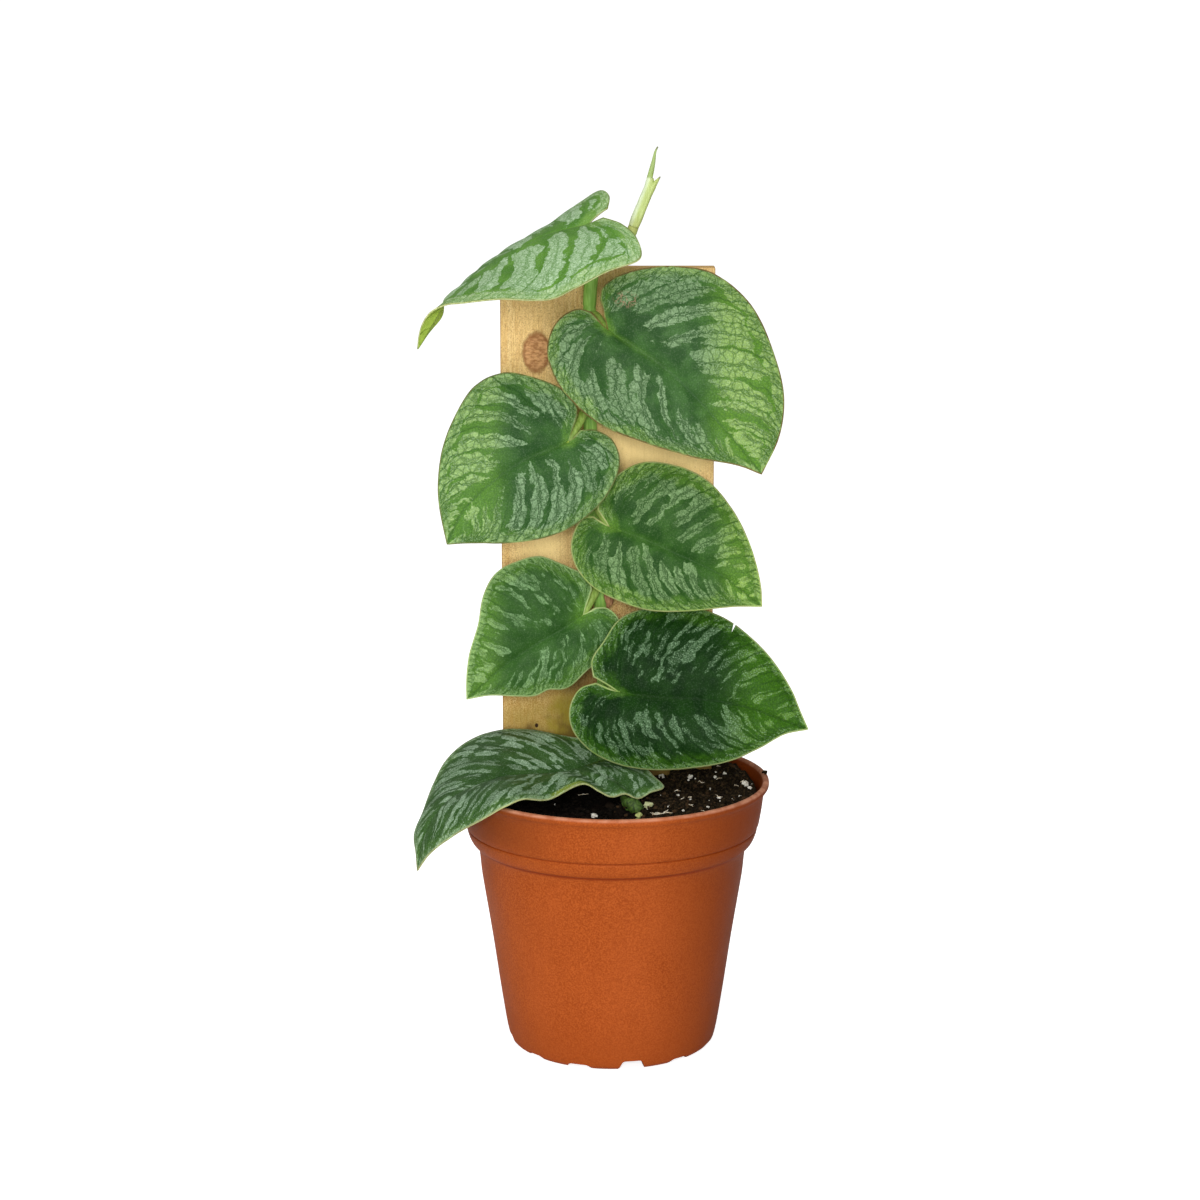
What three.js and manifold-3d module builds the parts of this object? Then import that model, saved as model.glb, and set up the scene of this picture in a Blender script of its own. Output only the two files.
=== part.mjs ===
// A young shingle plant in a nursery pot, climbing a wooden plank.
// Millimetres, +Z up. The origin is on the pot's axis, in the plane that the pot stands on.
// The plant's side of the plank faces -Y.

import * as THREE from "three";
import { mergeVertices } from "three/addons/utils/BufferGeometryUtils.js";
import Module from "manifold-3d";

// Driving dimensions
const gap = 0.3; // clearance between two pieces that touch
const potHeight = 94;
const potRimRadius = 54.2;
const potWall = 1.6;
const potFloorTop = 5;
const potFloorUnderside = 3;
const potFootInnerRadius = 30.8;
const potFootRadius = 33.4;
const potSegments = 40;
const notchCount = 12; // cut-outs round the foot ring
const notchWidth = 9.4; // where the pot stands; narrower above
const notchFlare = 0.3;
const notchDepth = 8;
const notchTurn = THREE.MathUtils.degToRad(-79);
const deepNotchHeight = 2.9;
const shallowNotchHeight = 1.3;
const drainHoleCount = 8;
const drainHoleRadius = 3;
const drainRingRadius = 23;
const centreHoleRadius = 4;
const soilLevel = 89;
const soilRimRadius = 50.4;
const soilSegments = 36;
const crumbCount = 40;
const boardFront = 23; // Y of the plank's face that the stem climbs
const boardThickness = 8.5;
const boardTop = 268;
const boardLeft = -38.5;
const boardRight = 35.3;
const boardShoulder = 88; // where the plank starts to narrow to its buried point
const boardPoint = 14;
const stemRadius = 2.3;
const bladeThickness = 0.8;
const bladeRows = 18; // from the leaf stalk to the tip
const bladeColumns = 4; // from the midrib to a margin

const wasm = await Module();
wasm.setup();

// Solid modelling

// Turns a closed geometry into a solid that can be joined and cut.
function solid(geometry) {
  const bare = new THREE.BufferGeometry();
  bare.setAttribute("position", geometry.getAttribute("position"));
  bare.setIndex(geometry.getIndex());
  const merged = mergeVertices(bare, 1e-4);
  const corners = merged.getIndex().array;
  const triangles = [];
  for (let i = 0; i < corners.length; i += 3) {
    const [a, b, c] = corners.slice(i, i + 3);
    if (a !== b && b !== c && c !== a) triangles.push(a, b, c);
  }
  const mesh = new wasm.Mesh({
    numProp: 3,
    vertProperties: new Float32Array(merged.getAttribute("position").array),
    triVerts: new Uint32Array(triangles),
  });
  return new wasm.Manifold(mesh);
}

// Turns a solid back into a geometry, keeping only its largest body.
function geometryOf(body) {
  const bodies = body.decompose().sort((a, b) => b.volume() - a.volume());
  const mesh = bodies[0].getMesh();
  const geometry = new THREE.BufferGeometry();
  geometry.setAttribute("position", new THREE.BufferAttribute(new Float32Array(mesh.vertProperties), 3));
  geometry.setIndex(new THREE.BufferAttribute(new Uint32Array(mesh.triVerts), 1));
  geometry.computeVertexNormals();
  return geometry;
}

// A body turned about the vertical axis from a closed or axis-to-axis profile of [radius, height].
function turned(profile, segments) {
  const points = profile.map(([radius, height]) => new THREE.Vector2(radius, height));
  return new THREE.LatheGeometry(points, segments).rotateX(Math.PI / 2);
}

const vectors = (points) => points.map(([x, y, z]) => new THREE.Vector3(x, y, z));
const smoothCurve = (points) => new THREE.CatmullRomCurve3(vectors(points), false, "centripetal");

// A closed round limb along a smooth curve. radii are spread evenly from its start to its end.
function limb(points, radii, steps, sides = 8) {
  const curve = smoothCurve(points);
  const frames = curve.computeFrenetFrames(steps, false);
  const positions = [];
  const index = [];
  for (let i = 0; i <= steps; i++) {
    const along = (i / steps) * (radii.length - 1);
    const k = Math.min(Math.floor(along), radii.length - 2);
    const radius = THREE.MathUtils.lerp(radii[k], radii[k + 1], along - k);
    const centre = curve.getPointAt(i / steps);
    for (let j = 0; j < sides; j++) {
      const angle = (2 * Math.PI * j) / sides;
      const point = centre
        .clone()
        .addScaledVector(frames.normals[i], radius * Math.cos(angle))
        .addScaledVector(frames.binormals[i], radius * Math.sin(angle));
      positions.push(...point);
    }
  }
  const first = positions.length / 3;
  positions.push(...curve.getPointAt(0), ...curve.getPointAt(1));
  for (let j = 0; j < sides; j++) {
    const next = (j + 1) % sides;
    for (let i = 0; i < steps; i++) {
      const a = i * sides + j;
      const b = i * sides + next;
      index.push(a, b, b + sides, a, b + sides, a + sides);
    }
    index.push(first, next, j, first + 1, steps * sides + j, steps * sides + next);
  }
  const geometry = new THREE.BufferGeometry();
  geometry.setAttribute("position", new THREE.Float32BufferAttribute(positions, 3));
  geometry.setIndex(index);
  return solid(geometry);
}

// Materials
const finish = (color, roughness) => new THREE.MeshStandardMaterial({ color, roughness, metalness: 0 });
const terracottaPlastic = finish(0xb8552c, 0.55);
const peat = finish(0x1d1713, 0.95);
const pine = finish(0xd3ae70, 0.75);
const stemGreen = finish(0x5d8a3a, 0.5);
const shootGreen = finish(0xa9bd6d, 0.5);
const leafGreen = finish(0x3f6f41, 0.42);

const plant = new THREE.Group();

function place(name, body, material) {
  const mesh = new THREE.Mesh(geometryOf(body), material);
  mesh.name = name;
  plant.add(mesh);
}

// Pot: straight-sided body, rounded shoulder, sloping collar with a groove, and a small lip
const potOutside = [
  [potFootRadius, 0],
  [35.4, 1.3],
  [36.2, 3.4],
  [38.5, 16.7],
  [41.7, 38.7],
  [45.2, 60.6],
  [46.8, 71.5],
  [48.3, 72.5],
  [49.4, 74.2],
  [50.3, 77.3],
  [50, 77.7],
  [50.6, 78.2],
  [51.7, 83.4],
  [52.9, 90.6],
  [potRimRadius, 92.2],
  [potRimRadius, potHeight - 0.4],
  [potRimRadius - 0.4, potHeight],
];
const potInside = [
  [potRimRadius - potWall, potHeight],
  [51.3, 90.4],
  [50.1, 83.4],
  [48.7, 76.8],
  [47.8, 74.6],
  [46.9, 73.4],
  [45.1, 72.2],
  [43.6, 60.6],
  [40.1, 38.7],
  [36.9, 16.7],
  [34.9, 6.2],
  [33.6, potFloorTop],
];

function potBody() {
  const shell = solid(
    turned(
      [
        [0, potFloorUnderside],
        [potFootInnerRadius, potFloorUnderside],
        [potFootInnerRadius, 0],
        ...potOutside,
        ...potInside,
        [0, potFloorTop],
      ],
      potSegments,
    ),
  );
  const cuts = [];
  for (let i = 0; i < notchCount; i++) {
    const angle = notchTurn + (2 * Math.PI * i) / notchCount;
    const height = i % 3 === 0 ? deepNotchHeight : shallowNotchHeight;
    const notch = new THREE.BoxGeometry(notchDepth, notchWidth, 2 * height);
    const corners = notch.getAttribute("position");
    for (let j = 0; j < corners.count; j++) {
      const flare = corners.getZ(j) > 0 ? 1 - notchFlare : 1 + notchFlare;
      corners.setY(j, corners.getY(j) * flare);
    }
    notch.translate(potFootInnerRadius - 1 + notchDepth / 2, 0, 0).rotateZ(angle);
    cuts.push(solid(notch));
  }
  const drill = (radius, x, y) => {
    const hole = new THREE.CylinderGeometry(radius, radius, 4 * potFloorTop, 16);
    cuts.push(solid(hole.rotateX(Math.PI / 2).translate(x, y, 0)));
  };
  drill(centreHoleRadius, 0, 0);
  for (let i = 0; i < drainHoleCount; i++) {
    const angle = (2 * Math.PI * i) / drainHoleCount;
    drill(drainHoleRadius, drainRingRadius * Math.cos(angle), drainRingRadius * Math.sin(angle));
  }
  return cuts.reduce((body, cut) => body.subtract(cut), shell);
}

// Plank: sawn board, narrowed to a blunt point where it is buried. grow widens it for its slot.
function boardBody(grow = 0) {
  const outline = new THREE.Shape();
  outline.moveTo(boardLeft - grow, boardTop);
  outline.lineTo(boardLeft - grow, boardShoulder);
  outline.lineTo(-30 - grow, 71.5);
  outline.lineTo(-9.6 - grow, boardPoint - grow);
  outline.lineTo(6.4 + grow, boardPoint - grow);
  outline.lineTo(27 + grow, 71.5);
  outline.lineTo(boardRight + grow, boardShoulder);
  outline.lineTo(boardRight + grow, boardTop);
  const sawn = new THREE.ExtrudeGeometry(outline, {
    depth: boardThickness + 2 * grow,
    bevelEnabled: false,
  });
  return solid(sawn.rotateX(Math.PI / 2).translate(0, boardFront + boardThickness + grow, 0));
}

// Stem: climbs the plank's face, passes over its top and leans right to the new shoot
const stemDepth = boardFront - gap - stemRadius;
const stemPath = [
  [-2, stemDepth, 62],
  [-2.4, stemDepth, 89],
  [-2.8, stemDepth, 117],
  [-4.2, stemDepth, 154],
  [-6.4, stemDepth, 186],
  [-7.6, stemDepth, 216],
  [-7.4, stemDepth, 262],
  [-5.8, 20.2, 270],
  [-2, 19.5, 275],
  [3, 18.5, 277.6],
  [6, 18, 279.7],
  [7.2, 18, 282.4],
];
const stemEndRadius = 1.8;
const stemSteps = 36;

function stemBody(grow = 0, path = stemPath) {
  const radii = Array(12).fill(stemRadius + grow);
  radii.push(stemEndRadius + grow);
  return limb(path, radii, stemSteps);
}

// Short rootlets that grip the plank beside the stem, as [height, side]
const rootletRadius = 0.55;
const rootlets = [
  [128, 1],
  [171, -1],
  [202, 1],
  [236, -1],
];

function stemWithRootlets() {
  const onBoard = boardFront - gap - rootletRadius;
  return rootlets.reduce((body, [height, side]) => {
    const x = stemPath.find((point) => point[2] > height)[0];
    const path = [
      [x, stemDepth, height],
      [x + 3 * side, onBoard - 0.5, height - 1],
      [x + 6 * side, onBoard, height - 3],
      [x + 9 * side, onBoard, height - 3.5],
    ];
    return body.add(limb(path, [rootletRadius, rootletRadius], 5, 5));
  }, stemBody());
}

// New shoot: a rolled leaf that stands out of its sheath, on the stem's end
const shootPath = [
  [7.4, 18, 282.7],
  [9.4, 18, 287.5],
  [11, 18, 292],
  [12.6, 18, 297.5],
  [14, 18, 303],
  [15, 18, 309],
];

function shootBody() {
  const spear = limb(shootPath, [1.7, 1.8, 1.75, 1.5, 1.2, 0.85, 0.55, 0.4], 14, 10);
  const sheathTip = limb(
    [
      [12, 17.4, 293],
      [14.2, 17.2, 297.5],
      [15.8, 17.2, 299.6],
    ],
    [1.1, 0.8, 0.35],
    5,
    6,
  );
  return spear.add(sheathTip);
}

// Leaves. midrib runs from the stalk to the tip. left and right are the margins' points, seen on
// the upper face with the tip ahead, from the inner end of each lobe to just short of the tip.
// arch is how far each half bulges, as a part of its width.
const leaves = [
  {
    stalk: [
      [1.5, 19, 277.5],
      [-1, 13.5, 281],
      [-5, 9.5, 282.8],
      [-8.6, 7.6, 282.8],
      [-15.5, 6, 281.4],
    ],
    arch: 0.04,
    midrib: [
      [-8, 8, 284],
      [-22.5, 6, 280.5],
      [-39.5, 1, 271.5],
      [-51, -5, 263.5],
      [-56, -9, 259.3],
      [-59, -10.2, 254.5],
      [-65, -9, 244],
    ],
    left: [
      [-3, 4, 286.5],
      [3, -3, 285],
      [8, -11, 281],
      [9, -18, 275],
      [-1.5, -20, 271],
      [-12.5, -22, 265.5],
      [-20.5, -23, 262],
      [-37, -22, 262],
      [-49, -19, 260.5],
      [-55, -16, 259.5],
      [-60.5, -14, 257],
      [-64, -12, 250.5],
    ],
    right: [
      [-1.5, 13, 289],
      [-1, 19, 292.5],
      [-4, 25, 294],
      [-10.5, 29, 290],
      [-22.5, 29, 281.5],
      [-34, 26, 275],
      [-45, 18, 268],
      [-53, 7, 261.5],
      [-56.5, 0, 259],
      [-56.5, -4, 254.5],
      [-60, -6, 251],
    ],
  },
  {
    stalk: [
      [-7.5, stemDepth, 251.5],
      [-5.5, 14, 252.5],
      [-3, 8.6, 250],
      [-1.3, 7.2, 248],
      [4.5, 6.6, 244.6],
    ],
    arch: 0.08,
    midrib: [
      [-1.5, 6, 248.5],
      [7.5, 4.5, 243],
      [19.5, 3, 234.5],
      [39.5, 0, 214],
      [50.5, -1.5, 200.5],
    ],
    left: [
      [-4, 8, 258.5],
      [-3, 9, 263],
      [6, 10, 268],
      [22.5, 11.5, 269.5],
      [34.5, 12, 267],
      [47, 10, 256.5],
      [54.5, 6.5, 241],
      [58, 3, 226.5],
      [56.5, 0.5, 213.5],
    ],
    right: [
      [-7, 7.5, 254.5],
      [-12, 8, 255.5],
      [-18.5, 8, 251.5],
      [-22, 7.5, 242.5],
      [-19, 6.5, 231.5],
      [-12, 5, 223],
      [-3.5, 3.5, 216.5],
      [9.5, 1.5, 211.5],
      [26.5, -0.5, 206.5],
      [42.5, -1.5, 203.5],
    ],
  },
  {
    stalk: [
      [-7.6, stemDepth, 222],
      [-9.5, 15.5, 219.5],
      [-12.5, 10.6, 214],
      [-15.2, 9.2, 209.6],
      [-21.5, 8.5, 206.8],
    ],
    arch: 0.08,
    midrib: [
      [-15, 8, 210],
      [-23, 7, 207],
      [-33, 6, 202.5],
      [-50.5, 4, 187.5],
      [-56.5, 3, 175.5],
    ],
    left: [
      [-11, 9, 214],
      [-6, 9.5, 214],
      [0, 9.5, 210.5],
      [2.5, 9, 203],
      [-1.5, 7.5, 192.5],
      [-11, 6, 183],
      [-22, 4.5, 178],
      [-36, 3.5, 176],
      [-48.5, 3, 176],
    ],
    right: [
      [-12, 9.5, 218.5],
      [-12.5, 10.5, 222.5],
      [-17, 11.5, 227.5],
      [-26.5, 12.5, 231.5],
      [-37.5, 14, 233],
      [-47, 13.5, 228.5],
      [-53.5, 11, 219],
      [-58, 8.5, 207.5],
      [-59.5, 6, 195.5],
      [-59, 4.5, 188],
    ],
  },
  {
    stalk: [
      [-6.3, stemDepth, 188],
      [-5, 15, 186.5],
      [-3, 11, 183],
      [-1, 10.1, 180],
      [5, 9.7, 177.8],
    ],
    arch: 0.08,
    midrib: [
      [-1, 9, 180.5],
      [9.5, 8, 177],
      [23.5, 6.5, 171],
      [37, 5.5, 164.5],
      [51.5, 4.5, 153.5],
    ],
    left: [
      [-5, 10, 186],
      [-4.5, 11, 190.5],
      [-2, 12, 194.5],
      [2.5, 13, 198.5],
      [10, 14, 202],
      [20, 14, 201.5],
      [32, 13, 196.5],
      [41.5, 10.5, 186],
      [47.5, 8, 174],
      [51, 5.5, 161],
    ],
    right: [
      [-6.5, 10, 184],
      [-10.5, 10, 183],
      [-14, 9.5, 175.5],
      [-13, 8.5, 168],
      [-7.5, 7.5, 160.5],
      [1.5, 6.5, 155.5],
      [13, 5.5, 152],
      [26.5, 4.5, 152],
      [42, 4.5, 153.5],
    ],
  },
  {
    stalk: [
      [-4.8, stemDepth, 160],
      [-5.6, 16.6, 157],
      [-8, 14, 152.5],
      [-10.2, 13.2, 148.4],
      [-15.4, 12.4, 144.2],
    ],
    arch: 0.07,
    midrib: [
      [-10, 12, 149],
      [-16.5, 11, 144.5],
      [-26.5, 9.5, 139],
      [-37, 8.5, 132],
      [-50.5, 7, 120],
    ],
    left: [
      [-6, 12.5, 151.5],
      [-1.5, 13, 151],
      [2.5, 12.5, 147],
      [3, 12, 141],
      [-3, 10.5, 134],
      [-8.5, 9.5, 130],
      [-14.5, 8.5, 124.5],
      [-21, 8, 123],
      [-32, 7.5, 121],
      [-42.5, 7, 121.5],
    ],
    right: [
      [-7, 13.5, 157.5],
      [-8.5, 14.5, 162],
      [-14.5, 15, 165],
      [-19, 15, 167],
      [-25, 15.5, 169],
      [-33.5, 15.5, 167],
      [-40.5, 14.5, 163],
      [-44.5, 13, 156],
      [-46.5, 11, 145.5],
      [-49.5, 9, 135.5],
      [-50.5, 8, 127],
    ],
  },
  {
    stalk: [
      [-3.2, stemDepth, 131],
      [-3, 12.5, 129],
      [-0.5, 5, 126],
      [2.2, 2.3, 123.7],
      [9, 1.4, 122.3],
    ],
    arch: 0.09,
    midrib: [
      [2.5, 1, 124],
      [16.5, -0.5, 122.5],
      [30, -1, 122],
      [44, -1.5, 120],
      [67.5, -3.5, 112],
    ],
    left: [
      [-6.5, 3, 129],
      [-7, 5, 134.5],
      [-3, 7.5, 140.5],
      [3, 11, 148],
      [14, 13, 151.5],
      [27, 13, 151.5],
      [38, 11, 148.5],
      [46.5, 8.5, 143],
      [55, 4.5, 135],
      [62, 0.5, 124.5],
      [64.5, -1.5, 118.5],
    ],
    right: [
      [-5.5, 2.5, 127],
      [-11, 2.5, 125],
      [-14.5, 1, 119],
      [-14, -0.5, 112],
      [-8, -2, 104.5],
      [2.5, -3.5, 99.5],
      [14, -4.5, 98],
      [28.5, -5.5, 99],
      [40.5, -6, 101.5],
      [51, -5, 106],
      [59.5, -4, 110.5],
    ],
  },
  {
    stalk: [
      [7, -27, 72],
      [6, -25, 84],
      [4, -16, 91.5],
      [0.5, 0, 96.6],
      [-2.6, 6.4, 97.5],
      [-9, 1.6, 97],
    ],
    arch: 0.07,
    midrib: [
      [-2, 8, 98.2],
      [-19, -6, 97.2],
      [-38.5, -15, 98],
      [-56, -22, 91.5],
      [-63.5, -25.5, 80.5],
      [-66, -30, 69.5],
    ],
    left: [
      [3.5, 5, 98],
      [11.5, 2, 96.5],
      [16.5, -7, 94.5],
      [10, -17, 92.5],
      [0, -21, 93.5],
      [-9.5, -25, 98.5],
      [-21.5, -34, 95.5],
      [-30, -41, 97.5],
      [-35.5, -44, 96],
      [-43.5, -41, 90.5],
      [-52.5, -36, 84],
      [-61.5, -32, 76],
    ],
    right: [
      [0, 11, 101.5],
      [-3, 13, 104],
      [-8.5, 14, 104],
      [-17.5, 17, 104.5],
      [-28, 19, 106],
      [-39, 19, 106],
      [-49.5, 15, 103.5],
      [-57.5, 7, 98.5],
      [-62, -2, 91.5],
      [-65, -11, 84.5],
      [-67.5, -19, 79],
      [-66.5, -26, 74],
    ],
  },
];

const ribAdvance = 1.5; // how late the side veins leave the midrib near the stalk

// The blade's middle surface: one row for each side vein, from the left margin over the midrib
// to the right margin, and a single vertex at the tip.
function bladeSheet({ midrib, left, right, arch }) {
  const tip = midrib[midrib.length - 1];
  const rib = smoothCurve(midrib);
  const margins = { "-1": smoothCurve([...left, tip]), 1: smoothCurve([...right, tip]) };
  const width = 2 * bladeColumns + 1;
  const positions = [];
  const bulges = [];
  for (let i = 0; i < bladeRows; i++) {
    const t = i / bladeRows;
    const start = rib.getPointAt(t ** ribAdvance);
    for (let j = -bladeColumns; j <= bladeColumns; j++) {
      const out = Math.abs(j) / bladeColumns;
      const end = margins[j < 0 ? -1 : 1].getPointAt(t);
      positions.push(...start.clone().lerp(end, out));
      bulges.push(4 * arch * start.distanceTo(end) * out * (1 - out));
    }
  }
  positions.push(...tip);
  bulges.push(0);
  const index = [];
  for (let i = 0; i < bladeRows; i++) {
    for (let j = 0; j < width - 1; j++) {
      const a = i * width + j;
      if (i === bladeRows - 1) {
        index.push(a, a + 1, bladeRows * width);
      } else {
        index.push(a, a + 1, a + width, a + 1, a + width + 1, a + width);
      }
    }
  }
  const sheet = new THREE.BufferGeometry();
  sheet.setAttribute("position", new THREE.Float32BufferAttribute(positions, 3));
  sheet.setIndex(index);
  sheet.computeVertexNormals();
  return offset(sheet, bulges);
}

// Moves each vertex of a sheet along its normal.
function offset(sheet, distances) {
  const moved = sheet.clone();
  const position = moved.getAttribute("position");
  const normal = sheet.getAttribute("normal");
  for (let i = 0; i < position.count; i++) {
    const distance = distances[i] ?? distances;
    position.setXYZ(
      i,
      position.getX(i) + distance * normal.getX(i),
      position.getY(i) + distance * normal.getY(i),
      position.getZ(i) + distance * normal.getZ(i),
    );
  }
  moved.computeVertexNormals();
  return moved;
}

// Gives a sheet its thickness, with both faces split into triangles alike.
function thicken(sheet, thickness) {
  const upper = offset(sheet, thickness / 2);
  const lower = offset(sheet, -thickness / 2);
  const count = sheet.getAttribute("position").count;
  const faces = Array.from(sheet.getIndex().array);
  const index = [...faces];
  const edges = new Set();
  for (let i = 0; i < faces.length; i += 3) {
    const [a, b, c] = faces.slice(i, i + 3);
    index.push(a + count, c + count, b + count);
    [`${a},${b}`, `${b},${c}`, `${c},${a}`].forEach((edge) => edges.add(edge));
  }
  for (const edge of edges) {
    const [a, b] = edge.split(",").map(Number);
    if (edges.has(`${b},${a}`)) continue;
    index.push(b, a, a + count, b, a + count, b + count);
  }
  const body = new THREE.BufferGeometry();
  const positions = [...upper.getAttribute("position").array, ...lower.getAttribute("position").array];
  body.setAttribute("position", new THREE.Float32BufferAttribute(positions, 3));
  body.setIndex(index);
  return solid(body);
}

const stalkRadii = [1.9, 1.6, 1.4, 1.2, 0.8];
const stalkBody = ({ stalk }, grow = 0) => limb(stalk, stalkRadii.map((radius) => radius + grow), 14, 7);
const leafBody = (leaf) => thicken(bladeSheet(leaf), bladeThickness).add(stalkBody(leaf));

// Soil: fills the pot, with an uneven, crumbly top
function soilRise(x, y) {
  const swell = 0.9 * Math.sin(0.11 * x + 1) * Math.cos(0.09 * y);
  const lumps = 0.5 * Math.sin(0.33 * x + 0.27 * y) + 0.4 * Math.sin(0.41 * x - 0.52 * y + 2);
  return swell + lumps;
}

function soilBody() {
  const side = [...potInside].reverse().filter(([, height]) => height < soilLevel - 2);
  const wall = side.map(([radius, height]) => [radius - 1.2 * gap, height + gap]);
  const profile = [[0, potFloorTop + gap], ...wall, [soilRimRadius, soilLevel - 0.8]];
  for (let radius = 46; radius > 0; radius -= 6) profile.push([radius, soilLevel]);
  profile.push([0, soilLevel]);
  const filled = turned(profile, soilSegments);
  const position = filled.getAttribute("position");
  for (let i = 0; i < position.count; i++) {
    if (position.getZ(i) < soilLevel - 1e-3) continue;
    position.setZ(i, soilLevel + soilRise(position.getX(i), position.getY(i)));
  }
  return addCrumbs(solid(filled));
}

// A small repeatable source of numbers from 0 to 1
let seed = 7;
function random() {
  seed = (seed * 16807) % 2147483647;
  return seed / 2147483647;
}

// Bark and peat crumbs, half sunk in the soil and clear of the plank and the stems
function addCrumbs(bed) {
  let body = bed;
  for (let made = 0; made < crumbCount; ) {
    const radius = 46 * Math.sqrt(random());
    const angle = 2 * Math.PI * random();
    const size = 1 + 1.4 * random();
    const x = radius * Math.cos(angle);
    const y = radius * Math.sin(angle);
    const nearBoard = y > stemDepth - 8;
    const nearStalk = Math.hypot(x - stalkHole[0], y - stalkHole[1]) < 8;
    if (nearBoard || nearStalk) continue;
    const crumb = new THREE.IcosahedronGeometry(size, 0);
    crumb.scale(1, 0.8, 0.6).rotateZ(6 * random());
    crumb.translate(x, y, soilLevel + soilRise(x, y) + 0.1 * size);
    body = body.add(solid(crumb));
    made++;
  }
  return body;
}

const lowestLeaf = leaves[leaves.length - 1];
const stalkHole = lowestLeaf.stalk[1];

// The plain holes that the plank and the two stems stand in are cut a gap wider than they are.
function plantedSoil() {
  const stemHole = [[stemPath[0][0], stemDepth, stemPath[0][2] - gap], ...stemPath.slice(1)];
  const [x, y, z] = lowestLeaf.stalk[0];
  const stalkWay = [[x, y, z - gap], ...lowestLeaf.stalk.slice(1)];
  return soilBody()
    .subtract(boardBody(gap))
    .subtract(stemBody(gap, stemHole))
    .subtract(limb(stalkWay, stalkRadii.map((radius) => radius + gap), 14, 7));
}

place("pot", potBody(), terracottaPlastic);
place("soil", plantedSoil(), peat);
place("board", boardBody(), pine);
place("stem", stemWithRootlets(), stemGreen);
leaves.forEach((leaf, i) => {
  place(`leaf_${i + 1}`, leafBody(leaf).subtract(stemBody(gap)), leafGreen);
});
place("new_shoot", shootBody(), shootGreen);

export default plant;
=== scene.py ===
"""A young shingle plant in a nursery pot, climbing a pale plank: its finished surfaces and the view."""

import math
import random

import bmesh
import bpy
import numpy as np
from mathutils import Matrix, Vector, noise


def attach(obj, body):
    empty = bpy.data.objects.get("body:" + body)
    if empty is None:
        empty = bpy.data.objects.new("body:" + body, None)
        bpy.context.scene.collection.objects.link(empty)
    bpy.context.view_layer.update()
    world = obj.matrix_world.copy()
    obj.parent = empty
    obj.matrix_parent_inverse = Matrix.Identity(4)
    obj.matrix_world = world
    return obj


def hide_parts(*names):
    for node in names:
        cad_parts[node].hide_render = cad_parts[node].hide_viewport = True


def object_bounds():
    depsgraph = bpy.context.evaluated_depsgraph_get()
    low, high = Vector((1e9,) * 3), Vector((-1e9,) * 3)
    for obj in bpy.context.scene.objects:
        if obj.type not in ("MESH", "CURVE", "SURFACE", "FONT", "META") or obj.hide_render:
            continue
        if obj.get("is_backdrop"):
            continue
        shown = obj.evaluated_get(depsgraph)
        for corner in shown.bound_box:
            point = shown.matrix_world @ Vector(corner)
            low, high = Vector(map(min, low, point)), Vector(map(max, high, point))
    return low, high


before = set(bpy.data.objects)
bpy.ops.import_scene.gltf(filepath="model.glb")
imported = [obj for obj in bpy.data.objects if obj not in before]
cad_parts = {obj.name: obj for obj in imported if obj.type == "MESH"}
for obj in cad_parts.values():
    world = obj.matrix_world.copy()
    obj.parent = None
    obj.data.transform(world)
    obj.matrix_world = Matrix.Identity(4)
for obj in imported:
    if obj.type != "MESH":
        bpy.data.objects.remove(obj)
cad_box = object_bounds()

# Measures, in millimetres. The pot stands on z = 0, its axis is x = y = 0, and the plant faces -y.
MM = 0.001
CLEARANCE = 0.3
FULL_TURN = 2 * math.pi

POT_OUTSIDE = [
    (33.4, 0), (35.4, 1.3), (36.2, 3.4), (38.5, 16.7), (41.7, 38.7), (45.2, 60.6), (46.8, 71.5),
    (48.3, 72.5), (49.4, 74.2), (50.3, 77.3), (50, 77.7), (50.6, 78.2), (51.7, 83.4), (52.9, 90.6),
    (54.2, 92.2), (54.2, 93.6), (53.8, 94),
]
POT_INSIDE = [
    (52.6, 94), (51.3, 90.4), (50.1, 83.4), (48.7, 76.8), (47.8, 74.6), (46.9, 73.4), (45.1, 72.2),
    (43.6, 60.6), (40.1, 38.7), (36.9, 16.7), (34.9, 6.2), (33.6, 5), (0, 5),
]
POT_UNDERSIDE = [(0, 3), (30.8, 3), (30.8, 0)]
POT_STEPS = 144
# painted shade in the groove on the collar and in the step under the collar's shoulder
POT_GROOVE_SHADES = [(77.7, 0.5, 0.3), (71.7, 1.1, 0.7)]  # height, half width, how dark
LIP_HEIGHT = 94
NOTCHES = 12
NOTCH_TURN = math.radians(-79)
NOTCH_RADIUS = 33.8
NOTCH_LENGTH = 9
NOTCH_WIDTH = 9.4
NOTCH_FLARE = 0.3
NOTCH_ROUNDING = 0.9
NOTCH_HEIGHTS = (3.6, 1.8, 1.8)
DRAIN_HOLES = 8
DRAIN_RING = 23
DRAIN_RADIUS = 3
CENTRE_HOLE_RADIUS = 4

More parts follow.
